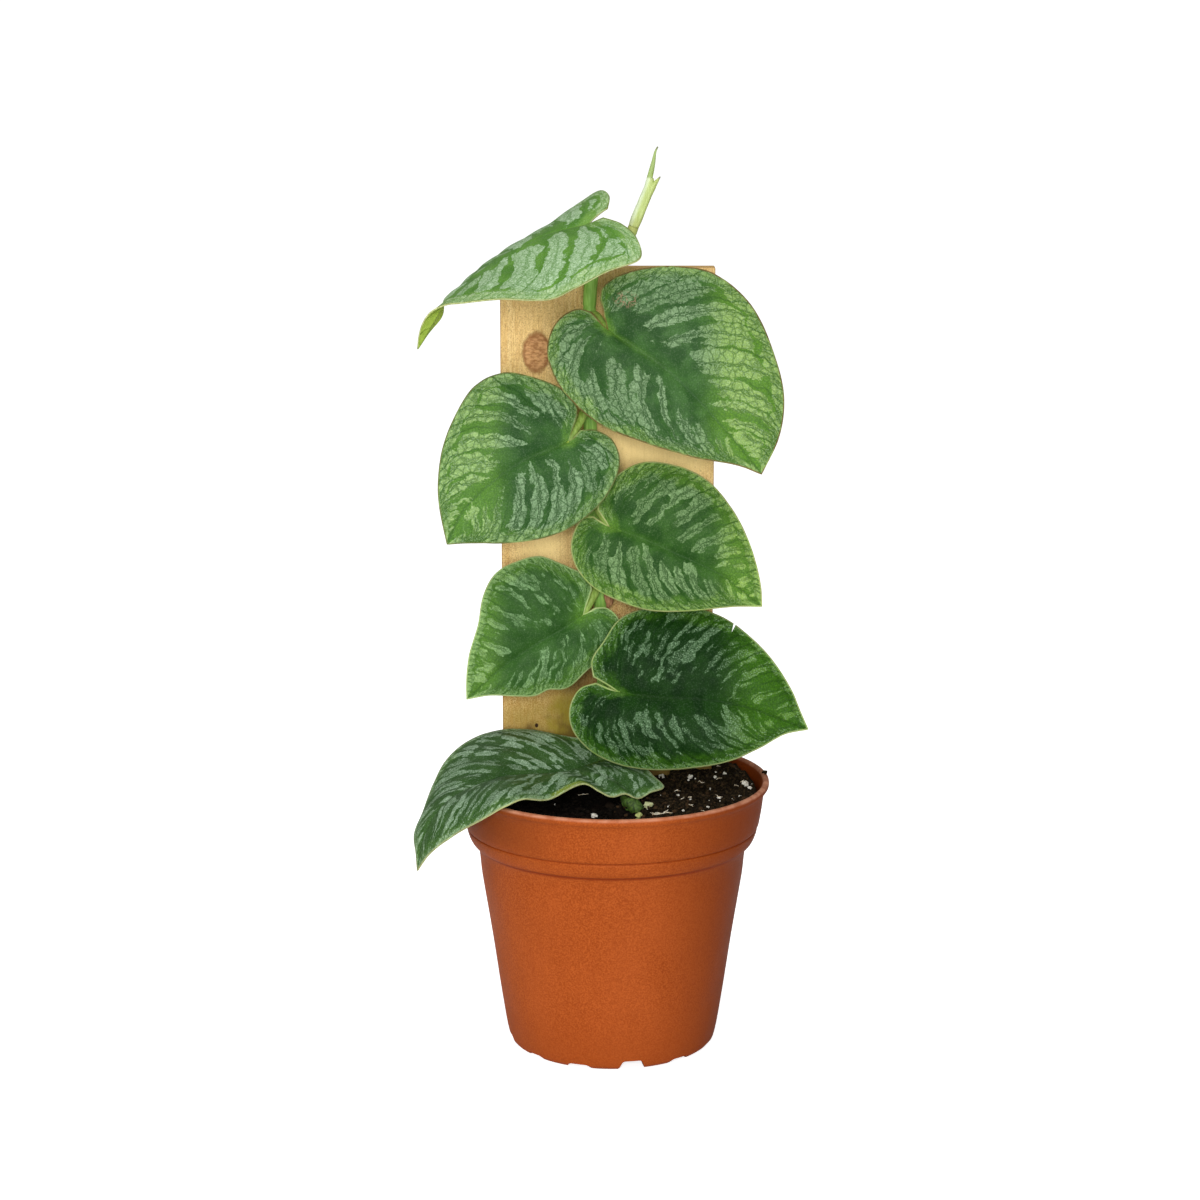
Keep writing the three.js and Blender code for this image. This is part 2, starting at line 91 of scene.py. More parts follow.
SOIL_LEVEL = 89
SOIL_RADIUS = 50.4
SOIL_STEPS = 132
SOIL_RING = 1.3
SOIL_REACH = 48.5  # how far out crumbs and grains lie
PLANK_ROOM = 2  # how far they stay from the plank's faces and from the stem's middle
STEM_ROOM = 4
STALK_HOLE_START = (7, -27, 71.7)  # where the last leaf's stalk's hole in the soil starts
PEAT_CRUMBS = 2200
CRUMB_SIZES = (0.35, 0.45, 0.45, 0.6, 0.8, 1.1)
CRUMB_TONES = (0, 0, 0, 0, 0.25, 0.6)
BARK_CHIPS = 26
LIP_CRUMBS = [(53, 6, 1.1), (53.2, 3.8, 0.6), (45.6, 27.4, 0.5)]  # x, y, half size
PERLITE = [  # x, y, half size, how green
    (17.5, 20.1, 1.25, 0), (27.5, 16, 1, 0), (36.1, 13.4, 0.6, 0), (39.6, 16.2, 0.7, 0),
    (46.1, 0.7, 1.3, 0), (47.6, -2.1, 0.6, 0), (44.1, -7.8, 0.8, 0), (34.1, 3.7, 0.45, 0),
    (36.7, -7.6, 0.6, 0), (41.2, -8.7, 0.6, 0), (12, -18, 1.75, 0.7), (8.9, -31, 1.3, 1),
    (-6, -32.5, 1.1, 0.1), (32.3, -22.6, 0.55, 0), (23.8, -28.6, 0.45, 0), (19.4, -22, 0.6, 0),
    (22.7, -5.9, 0.4, 0), (26.9, -9.4, 0.4, 0), (34.4, -15.4, 0.4, 0),
]
PERLITE_DUST = 60
FIBRES = [  # x, y, turn in degrees, length, half thickness
    (14.9, -33.7, 15, 4, 0.2), (16, -30, 120, 5, 0.24), (17.6, -28, 70, 4.5, 0.22),
    (18.9, -31.5, 150, 3, 0.16), (14, -30.5, 160, 3, 0.16), (26.7, -9.8, 40, 1.6, 0.14),
    (22.4, -4, 10, 1.4, 0.12), (26.5, -26, 115, 4, 0.12), (45.5, 3.5, 60, 3, 0.2),
    (36.5, -8.6, 160, 2, 0.14),
]
LOOSE_FIBRES = 16

BOARD_FRONT = 23
BOARD_THICKNESS = 8.5
BOARD_TOP = 268
BOARD_POINT = 14
BOARD_LEFT = -38.5
BOARD_RIGHT = 35.3
BOARD_OUTLINE = [
    (BOARD_LEFT, BOARD_TOP), (BOARD_LEFT, 88), (-30, 71.5), (-9.6, BOARD_POINT), (6.4, BOARD_POINT),
    (27, 71.5), (BOARD_RIGHT, 88), (BOARD_RIGHT, BOARD_TOP),
]
BOARD_MIDDLE = (BOARD_LEFT + BOARD_RIGHT) / 2
BOARD_HALF = (BOARD_RIGHT - BOARD_LEFT) / 2
BOARD_ROUNDING = 0.45
BOARD_WARP = 0.12
KNOT = (-26, 239)
KNOT_HALF = (4.4, 6.4)
NAIL_HOLE = (-26.6, 106.75)
# painted shadow of a leaf on the plank
LEAF_SHADOW_SPOT = (-6, 124)
# painted pools of light on the plank's front, where the leaves shade it
PAINTED_LIGHT_POOLS = [(12, 210, 20), (-24, 171, 14), (28, 203, 12)]  # x, z, reach

STEM_DEPTH = 20.4
STEM_HOLE_START = (-2, STEM_DEPTH, 61.7)
STEM_RADIUS = 2.3
STEM_END_RADIUS = 1.8
STEM_PATH = [
    (-2, STEM_DEPTH, 62), (-2.4, STEM_DEPTH, 89), (-2.8, STEM_DEPTH, 117), (-4.2, STEM_DEPTH, 154),
    (-6.4, STEM_DEPTH, 186), (-7.6, STEM_DEPTH, 216), (-7.4, STEM_DEPTH, 262), (-5.8, 20.2, 270),
    (-2, 19.5, 275), (3, 18.5, 277.6), (6, 18, 279.7), (7.2, 18, 282.4),
]
ROOTLETS = [(128, 1), (171, -1), (202, 1), (236, -1)]  # height, side
ROOTLET_RADIUS = 0.55
ROOTLET_RADII = [0.6, 0.6, 0.5, 0.2]
JOINT_SWELLING = 0.16  # as shares of the stem's radius
JOINT_GROOVE = 0.12
YOUNG_HEIGHT = 277.5  # over it the stem is yellower
SCALE_PATH = [(-1.8, 18.4, 156.5), (-1.2, 18, 154), (-0.9, 17.9, 152.2), (-1.7, 18, 150)]
SCALE_RADII = [0.45, 0.5, 0.45, 0.1]

SHOOT_FOOT = (7.4, 282.5)  # the middle of its foot, seen from the front
SHOOT_LEAN = 0.385  # how far right it leans for each millimetre up
SHOOT_PATH = [(7.2, 18, 282.5), (8.8, 18, 286.6), (10.7, 18, 291.2), (12.2, 18, 295), (12.9, 18, 298.8)]
SHOOT_RADII = [1.8, 2.0, 1.95, 1.9, 1.9, 1.85, 1.6, 1.2]
SPEAR_PATH = [(12, 18, 296.5), (13, 18, 300.5), (13.9, 18, 304.5), (14.5, 18, 307.6), (15.3, 18, 309.3)]
SPEAR_RADII = [1.1, 1.0, 0.9, 0.7, 0.45, 0.25]
SHEATH_TIP = [
    (11.9, 17.7, 291.5), (13.1, 17.5, 294.5), (14.3, 17.3, 296.8), (15.4, 17.2, 298.3), (16.2, 17.2, 299.3),
]
SHEATH_TIP_RADII = [0.6, 1.1, 1.15, 0.8, 0.2]
SEAM_SIDE = (1.0, -1.1, 0)
SEAM_RADII = [0.8, 0.95, 0.85, 0.6]

BLADE_ROWS = 120
BLADE_COLUMNS = 40  # from the midrib to a margin
BLADE_THICKNESS = 0.5
RIB_ADVANCE = 1.5
VEIN_BEND = 1.2
TIP_VEIN_ROOM = 0.12
QUILTING = 0.34  # how far a blade swells between two side veins
FURROW = 0.4  # how deep its midrib lies
FURROW_WIDTH = 1.1
WAVINESS = 0.12
RIGHT_COUNT = 40  # added to the right half's count of veins, so that both halves are marked differently
NET_SCALE = 0.31  # cells of the net for each millimetre, and of the blade's grain
GRAIN_SCALE = 1.05
TEAR_PULL = 0.9
TEAR_WIDTH = 0.012  # as a share of the blade's length
STALK_RADII = [1.9, 1.6, 1.4, 1.2, 0.8]
STUB_RADII = [1.0, 2.4, 2.5, 1.8, 0.8]
KEEL_RADII = [0.7, 0.7, 0.65, 0.65, 0.6]
KEEL_DEPTH = 0.85

PHOTO_WIDTH = 1200  # in pixels
FOCAL_PIXELS = 2988
SENSOR_WIDTH = 36
CAMERA_PLACE = (-4.2, -1000, 366.6)
CAMERA_PITCH = 11.85  # degrees down
LIGHTS = [  # name, place and width in metres, watts; all aim at the plant's middle
    ("key_light", (-1.5, -0.75, 0.8), 0.8, 6), ("front_light", (-0.15, -1.9, 0.72), 0.5, 17),
    ("low_light", (0.45, -1.9, 0.25), 0.9, 11.5), ("top_light", (-0.15, -0.55, 1.7), 0.9, 7),
]
LIGHTS_AIM = (0, 0, 0.15)
FLOOR_SIZE = 60  # in metres, from the middle to an edge
FLOOR_GLOW = 0.78  # how bright the white floor and the room behind look, and how much light the room gives
ROOM_GLOW = 1.0
ROOM_LIGHT = 0.36


# Smooth lines and shapes

class Course:
    """A smooth line through points, read by the share of its length."""

    def __init__(self, points, fine=30):
        points = np.array(points, float)
        run = np.vstack([2 * points[0] - points[1], points, 2 * points[-1] - points[-2]])
        steps = np.arange(fine)[:, None] / fine
        samples = []
        for before, start, stop, after in zip(run, run[1:], run[2:], run[3:]):
            a, b, c = (
                max(np.linalg.norm(far - near) ** 0.5, 1e-6)
                for near, far in ((before, start), (start, stop), (stop, after))
            )
            leave = ((start - before) / a - (stop - before) / (a + b) + (stop - start) / b) * b
            arrive = ((stop - start) / b - (after - start) / (b + c) + (after - stop) / c) * b
            samples.append(
                (2 * steps**3 - 3 * steps**2 + 1) * start
                + (steps**3 - 2 * steps**2 + steps) * leave
                + (3 * steps**2 - 2 * steps**3) * stop
                + (steps**3 - steps**2) * arrive
            )
        self.samples = np.vstack([*samples, points[-1:]])
        lengths = np.linalg.norm(np.diff(self.samples, axis=0), axis=1)
        self.shares = np.concatenate([[0], np.cumsum(lengths)]) / lengths.sum()

    def at(self, share):
        return np.stack([np.interp(share, self.shares, axis) for axis in self.samples.T], -1)

    def frames(self, shares):
        """A frame at each share: two axes across the line, the line's own direction and the place."""
        places = self.at(shares)
        ways = np.gradient(places, axis=0)
        side = Vector((0.3, -1, 0.2))
        for place, way in zip(places, ways):
            way = Vector(way).normalized()
            side = (side - way * side.dot(way)).normalized()
            turned = Matrix((side, way.cross(side), way)).transposed().to_4x4()
            turned.translation = Vector(place)
            yield turned


def edges_among(verts):
    """The edges that have both their ends in verts."""
    among = set(verts)
    return list({edge for vert in verts for edge in vert.link_edges if edge.other_vert(vert) in among})


def new_verts(made):
    return [part for part in made["geom"] if isinstance(part, bmesh.types.BMVert)]


def sweep(bm, course, radius, steps, sides, flat=1.0):
    """Extrudes a ring along a course. radius gives the ring's size for a share of the length."""
    shares = np.linspace(0, 1, steps + 1)
    sizes = [max(radius(share), 0.02) for share in shares]
    rings = [
        place @ Matrix.Diagonal((size, size * flat, size, 1))
        for place, size in zip(course.frames(shares), sizes)
    ]
    ring = bmesh.ops.create_circle(bm, cap_ends=True, segments=sides, radius=1)["verts"]
    every = list(ring)
    bmesh.ops.transform(bm, matrix=rings[0], verts=ring)
    for last, new in zip(rings, rings[1:]):
        ring = new_verts(bmesh.ops.extrude_edge_only(bm, edges=edges_among(ring)))
        bmesh.ops.transform(bm, matrix=new @ last.inverted(), verts=ring)
        every += ring
    bmesh.ops.holes_fill(bm, edges=edges_among(ring), sides=0)
    bmesh.ops.recalc_face_normals(bm, faces=list({face for vert in every for face in vert.link_faces}))


def spread(values):
    """A radius that runs smoothly through values spread evenly along a course."""
    return lambda share: float(np.interp(share, np.linspace(0, 1, len(values)), values))


def spun(outline, steps):
    """A body turned round the pot's axis from an outline of (radius, height)."""
    bm = bmesh.new()
    corners = [bm.verts.new((radius, 0, height)) for radius, height in outline]
    for pair in zip(corners, corners[1:]):
        bm.edges.new(pair)
    bmesh.ops.spin(
        bm, geom=bm.verts[:] + bm.edges[:], cent=(0, 0, 0), axis=(0, 0, 1), dvec=(0, 0, 0),
        angle=FULL_TURN, steps=steps, use_merge=True, use_duplicate=False,
    )
    bmesh.ops.remove_doubles(bm, verts=bm.verts, dist=0.001)
    bmesh.ops.recalc_face_normals(bm, faces=bm.faces)
    return bm


def carved(bm, cutter):
    """Cuts one closed shape out of another."""
    parts = []
    for shape in (bm, cutter):
        mesh = bpy.data.meshes.new("carving")
        shape.to_mesh(mesh)
        shape.free()
        part = bpy.data.objects.new("carving", mesh)
        bpy.context.scene.collection.objects.link(part)
        parts.append(part)
    body, tool = parts
    cut = body.modifiers.new("cut", "BOOLEAN")
    cut.operation = "DIFFERENCE"
    cut.solver = "EXACT"
    cut.object = tool
    result = bmesh.new()
    result.from_mesh(body.evaluated_get(bpy.context.evaluated_depsgraph_get()).to_mesh())
    for part in parts:
        bpy.data.meshes.remove(part.data)
    return result


def finished(name, bm, node, slot, *finishes, sharp_angle=None):
    """Makes a shape in millimetres a piece of the plant that stands for a node of the frame."""
    bmesh.ops.scale(bm, vec=(MM, MM, MM), verts=bm.verts)
    mesh = bpy.data.meshes.new(name)
    bm.to_mesh(mesh)
    bm.free()
    mesh.shade_smooth()
    if sharp_angle:
        mesh.set_sharp_from_angle(angle=math.radians(sharp_angle))
    for finish in finishes:
        mesh.materials.append(finish)
    piece = bpy.data.objects.new(name, mesh)
    bpy.context.scene.collection.objects.link(piece)
    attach(piece, "root")
    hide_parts(node)
    return piece


# Finishes

def tint(red, green, blue):
    """A colour as it is seen, from 0 to 255, in the shader's linear values."""
    seen = [value / 255 for value in (red, green, blue)]
    return (*(((v + 0.055) / 1.055) ** 2.4 if v > 0.04045 else v / 12.92 for v in seen), 1.0)


class Value:
    """A number, place or colour that a finish works out at each point of a surface."""

    def __init__(self, finish, socket):
        self.finish = finish
        self.socket = socket

    def math(self, operation, *others):
        return self.finish.node("Math", dict(enumerate((self, *others))), operation=operation)

    def __add__(self, other):
        return self.math("ADD", other)

    def __sub__(self, other):
        return self.math("SUBTRACT", other)

    def __rsub__(self, other):
        return self.finish.node("Math", {0: other, 1: self}, operation="SUBTRACT")

    def __mul__(self, other):
        return self.math("MULTIPLY", other)

    def __truediv__(self, other):
        return self.math("DIVIDE", other)

    def __abs__(self):
        return self.math("ABSOLUTE")

    def least(self, other):
        return self.math("MINIMUM", other)

    def most(self, *others):
        value = self
        for other in others:
            value = value.math("MAXIMUM", other)
        return value

    def ramp(self, low, high, first=0.0, last=1.0):
        """Runs smoothly from first to last as the number goes from low to high."""
        ends = {0: self, 1: low, 2: high, 3: first, 4: last}
        return self.finish.node("MapRange", ends, interpolation_type="SMOOTHSTEP")


class Finish:
    """A material that is built coat by coat, in the millimetres of the frame."""

    def __init__(self, name, roughness=0.5, specular=0.5):
        self.material = bpy.data.materials.new(name)
        self.material.use_nodes = True
        self.nodes = self.material.node_tree.nodes
        self.links = self.material.node_tree.links
        self.shader = self.nodes["Principled BSDF"]
        self.shader.inputs["Roughness"].default_value = roughness
        self.shader.inputs["Specular IOR Level"].default_value = specular
        coordinates = Value(self, self.nodes.new("ShaderNodeTexCoord").outputs["Object"])
        self.place = self.node("VectorMath", {0: coordinates, 3: 1 / MM}, operation="SCALE")
        self.x, self.y, self.z = self.split(self.place)

    def node(self, kind, inputs, output=0, **settings):
        node = self.nodes.new("ShaderNode" + kind)
        for name, value in settings.items():
            setattr(node, name, value)
        for name, value in inputs.items():
            self.feed(node.inputs[name], value)
        return Value(self, node.outputs[output])

    def feed(self, socket, value):
        if isinstance(value, Value):
            self.links.new(value.socket, socket)
        else:
            socket.default_value = value

    def split(self, vector):
        node = self.nodes.new("ShaderNodeSeparateXYZ")
        self.feed(node.inputs[0], vector)
        return [Value(self, output) for output in node.outputs]

    def vector(self, x, y, z=0.0):
        return self.node("CombineXYZ", {0: x, 1: y, 2: z})

    def length(self, across, upward):
        return self.node("VectorMath", {0: self.vector(across, upward)}, output=1, operation="LENGTH")

    def distance(self, x, z, stretch=1.0):
        """How far a point is from (x, z), seen from the front, with its height stretched."""
        return self.length(self.x - x, (self.z - z) * stretch)

    def mix(self, share, first, second):
        return self.node("Mix", {0: share, 6: first, 7: second}, output=2, data_type="RGBA")

    def noise(self, size, detail=2.0, stretch=(1, 1, 1), place=None, rough=0.5):
        """Cloudy variation from 0 to 1, about size millimetres across."""
        inputs = {0: place or self.place, 1: tuple(1 / (size * s) for s in stretch)}
        scaled = self.node("VectorMath", inputs, operation="MULTIPLY")
        return self.node("TexNoise", {"Vector": scaled, "Scale": 1.0, "Detail": detail, "Roughness": rough})

    def attribute(self, name):
        return self.node("Attribute", {}, output=2, attribute_name=name)

    def ground(self, share, first, second):
        """The first coat, from one colour to another."""
        self.colour = self.mix(share, first, second)

    def coat(self, colour, share):
        """Lays a colour over the coats so far, as thick as share says."""
        self.colour = self.mix(share, self.colour, colour)

    def done(self, relief, depth, roughness=None):
        """Joins the coats, the relief (depth in millimetres) and the roughness to the shader."""
        self.feed(self.shader.inputs["Base Color"], self.colour)
        bump = self.node("Bump", {"Height": relief, "Distance": depth * MM, "Strength": 1.0})
        self.feed(self.shader.inputs["Normal"], bump)
        if roughness:
            self.feed(self.shader.inputs["Roughness"], roughness)
        return self.material


def plastic_finish():
    """Matt terracotta plastic: a fine mottle, a chalky lip, paler with dust and a painted highlight, and
    painted shade in the grooves, down the right side and on the collar under the lowest leaf.
    """
    made = Finish("terracotta_plastic", roughness=0.55, specular=0.1)
    grain = made.noise(0.55, 3)
    clouds = made.noise(17, 3, stretch=(1, 1, 1.6))
    streaks = made.noise(3.2, 2, stretch=(1, 1, 9))
    made.ground(grain.ramp(0.3, 0.7), tint(143, 61, 13), tint(174, 84, 30))
    made.coat(tint(176, 86, 36), clouds.ramp(0.35, 0.75, 0, 0.3))
    made.coat(tint(146, 62, 18), streaks.ramp(0.5, 0.8, 0, 0.22))
    made.coat(tint(150, 68, 20), (made.z + clouds * 8).ramp(30, 6, 0, 0.5))
    # painted shade: the right side, away from the key light, turns a deeper red-brown
    made.coat(tint(116, 46, 0), made.x.ramp(8, 50, 0, 0.9))
    # painted shadow of the lowest leaf on the collar's left side
    made.coat(tint(112, 50, 12), made.x.ramp(-12, -36) * made.z.ramp(72, 84) * 0.6)
    # painted shade: dark lines in the groove and in the step under the collar
    for height, width, strength in POT_GROOVE_SHADES:
        made.coat(tint(116, 36, 6), abs(made.z - height).ramp(width, 0.1, 0, strength))
    # the lip's top, paler: partly dust, partly a painted highlight along its edge
    dust = made.z.ramp(LIP_HEIGHT - 1.1, LIP_HEIGHT - 0.2) * made.noise(3.4, 3).ramp(0.35, 0.65, 0.3, 0.65)
    made.coat(tint(212, 152, 122), dust)
    return made.done(grain + streaks * 0.6, 0.05, clouds.ramp(0.3, 0.7, 0.5, 0.62))


def peat_finish():
    made = Finish("peat", roughness=0.95, specular=0.06)
    grain = made.noise(0.7, 4)
    made.ground(grain.ramp(0.35, 0.7), tint(5, 4, 3), tint(22, 17, 12))
    made.coat(tint(74, 54, 36), made.attribute("tone").ramp(0.2, 1.0, 0, 0.8))
    made.coat(tint(24, 15, 10), made.noise(6, 3).ramp(0.45, 0.7, 0, 0.5))
    made.coat(tint(62, 50, 32), made.x.ramp(4, 22) * made.noise(0.9, 3).ramp(0.45, 0.65, 0.1, 0.8))
    return made.done(grain, 0.35)


def perlite_finish():
    made = Finish("perlite", roughness=0.8, specular=0.3)
    pores = made.noise(0.5, 3)
    made.ground(pores.ramp(0.3, 0.6), tint(150, 142, 126), tint(236, 232, 220))
    made.coat(tint(172, 180, 112), made.attribute("tone").ramp(0.3, 0.9))
    return made.done(pores, 0.25)


def fibre_finish():
    made = Finish("pale_fibre", roughness=0.8, specular=0.3)
    made.ground(made.noise(0.9, 2).ramp(0.35, 0.65), tint(186, 166, 134), tint(240, 230, 208))
    return made.done(made.noise(0.3, 2), 0.05)


def sawn_grain(made, across, from_knot):
    """Upright grain that bends round the knot. Gives back its fibre and its late wood."""
    push = across * from_knot.ramp(0.5, 4.5, -1.6, 0)
    rings = made.x * 0.42 + made.noise(26, 2, stretch=(1, 1, 5)) * 7 + push + made.y * 0.12
    wave = (rings * FULL_TURN).math("SINE")
    late = (wave + made.noise(2, 2, stretch=(0.5, 1, 14)) * 0.8).ramp(0.5, 1.5)
    fibre = made.noise(0.5, 3, stretch=(0.7, 0.7, 22))
    made.ground(fibre.ramp(0.3, 0.7), tint(226, 190, 124), tint(243, 212, 150))
    made.coat(tint(204, 156, 88), late * 0.14)
    made.coat(tint(172, 128, 74), made.noise(0.4, 2, stretch=(1, 1, 2)).ramp(0.56, 0.68, 0, 0.5))
    made.coat(tint(182, 136, 76), made.noise(1.3, 3, stretch=(1, 1, 2.2)).ramp(0.5, 0.7, 0, 0.35))
    return fibre, late


def weather(made):
    """Dirt, damp and moss that grow towards the soil, a nail hole, painted shade at the foot, under a leaf
    and along the side edges, and painted pools of light.
    """
    spots = made.noise(2.6, 4, stretch=(1, 1, 1.4), rough=0.7).ramp(0.5, 0.66)
    made.coat(tint(186, 122, 62), spots * made.z.ramp(180, 115, 0.1, 0.5))
    grit = made.noise(0.5, 3, rough=0.7).ramp(0.42, 0.62) * made.z.ramp(215, 115, 0.4, 0.95)
    made.coat(tint(156, 106, 52), grit)
    made.coat(tint(176, 144, 76), (made.z - made.noise(14, 3) * 60).ramp(130, 55, 0, 0.75))
    wash = (made.z - made.x * 0.3 - made.noise(9, 3) * 30).ramp(118, 88)
    made.coat(tint(132, 118, 34), wash * 0.6)
    front = made.y.ramp(BOARD_FRONT + 0.9, BOARD_FRONT + 0.5)
    moss = (abs(made.x + 14) + made.noise(4, 3) * 14).ramp(18, 10)
    moss = moss * made.z.ramp(122, 113) * made.z.ramp(99, 104)
    made.coat(tint(146, 134, 26), moss * front * grit.ramp(0.1, 0.6, 0.75, 0.5))
    made.coat(tint(48, 30, 14), front * made.distance(*NAIL_HOLE, 0.8).ramp(0.8, 0.45))
    # painted shade: darker towards the plank's foot, under the lowest leaf
    shaded_foot = made.z - made.noise(6, 4) * 26 - made.x * 0.15
    made.coat(tint(96, 72, 34), shaded_foot.ramp(100, 92, 0, 0.7))
    # painted shadow of a leaf on the plank's front
    made.coat(tint(84, 52, 20), front * made.distance(*LEAF_SHADOW_SPOT).ramp(13, 5, 0, 0.55))
    # painted shade along the plank's side edges
    made.coat(tint(132, 92, 50), abs(made.x - BOARD_MIDDLE).ramp(BOARD_HALF - 0.6, BOARD_HALF, 0, 0.5))
    # painted pools of light that lift the shade between the leaves
    for x, z, reach in PAINTED_LIGHT_POOLS:
        away = made.distance(x, z) + made.noise(7, 3) * 6
        made.coat(tint(255, 224, 156), front * away.ramp(reach + 3, reach - 9, 0, 0.75))


def knot_wood(made, from_knot):
    """The knot's own wood, inside a dark ring. Gives back where it lies."""
    bent = from_knot + made.noise(2.2, 2) * 0.35
    heart = bent.ramp(1.28, 1.1)
    streaks = made.noise(0.9, 3, stretch=(1.8, 1, 0.8)).ramp(0.35, 0.65)
    wood = made.mix(streaks, tint(156, 108, 68), tint(204, 154, 104))
    wood = made.mix(made.noise(2.4, 2).ramp(0.55, 0.75, 0, 0.3), wood, tint(140, 94, 60))
    made.coat(wood, heart)
    made.coat(tint(132, 84, 48), bent.ramp(0.98, 1.16) * bent.ramp(1.42, 1.22) * 0.65)
    return heart


def pine_finish():
    """Sawn softwood round a knot, dirtier and greener towards the soil, with a darker sawn end."""
    made = Finish("sawn_pine", roughness=0.75, specular=0.15)
    across = (made.x - KNOT[0]) / KNOT_HALF[0]
    from_knot = made.length(across, (made.z - KNOT[1]) / KNOT_HALF[1])
    fibre, late = sawn_grain(made, across, from_knot)
    weather(made)
    heart = knot_wood(made, from_knot)
    made.coat(tint(188, 144, 86), made.z.ramp(BOARD_TOP - 0.6, BOARD_TOP - 0.1, 0, 0.4))
    specks = made.noise(0.7, 2, stretch=(1, 1, 1.6)).ramp(0.66, 0.72, 0, 0.7)
    made.coat(tint(96, 66, 34), specks * made.z.ramp(260, 240, 1, 0.35))
    return made.done(fibre + late * 0.5 + heart * 0.4, 0.12)


def stem_finish(name, shade, light, brown, streak=9, young=None):
    """Smooth green skin with pale streaks along it, browner in clouds, and yellower above young."""
    made = Finish(name, roughness=0.48, specular=0.25)
    lines = made.noise(0.8, 3, stretch=(1, 1, streak))
    made.ground(lines.ramp(0.3, 0.7), shade, light)
    made.coat(brown, made.noise(5, 3).ramp(0.55, 0.8, 0, 0.5))
    made.coat(light, made.noise(0.4, 2).ramp(0.68, 0.75, 0, 0.35))
    if young:
        made.coat(tint(158, 166, 92), made.z.ramp(young, young + 4))
    return made.done(lines, 0.08)


# What the markings of all the blades share. Each leaf's own look gives what differs.
MARKINGS = {
    "shine": 0.1,
    "veins": 1,  # side veins for each large one
    "wander": 3.6,  # how crooked they are
    "outer_band": 0.25,  # half width of the green along a side vein near the margin
    "stagger": 4,  # how far the start of the silver by the midrib staggers
    "arches": 3,  # how far from the margin the arches lie, how much they rise, and their half width
    "rise": 4,
    "arch_band": 0.35,
    "small": 3,  # small veins outside each arch
    "gaps": 2.2,  # how much of the silver is missing, in blots, in large bare places and by the margin
    "bare": 0.8,
    "rim_gaps": 0.15,
    "breaks": 0.115,  # how often a patch breaks on its way out
    "full": 7,  # how wide the margin is in which the silver closes up
    "streaks": 6,  # how fine the torn edges are, how deeply torn and frayed, and how soft
    "torn": 2.6,
    "fray": 1.8,
    "soft": 0.14,
    "net": 0.075,  # half width of the net of small veins
    "lines": 1.0,  # strength of all the small veins
    # the yellower zone is ripe along the margin and tip, and painted light shining through past the plank
    "strength": 0.95,  # strength of the silver, of its faintest patch, and of the ripe zone
    "faintest": 0.55,
    "yellow_strength": 0.9,
    "rib": 0,  # how dark the midrib stays by the stalk, and how light the blade is beside it
    "ribbed": 0.14,
    "fresh": 4.5,  # how wide and how strong the fresh spot over the stalk is
    "freshness": 0.65,
    "heart": tint(112, 152, 62),  # that spot's colour
    "dust": 0.1,  # pale dust on the green
}


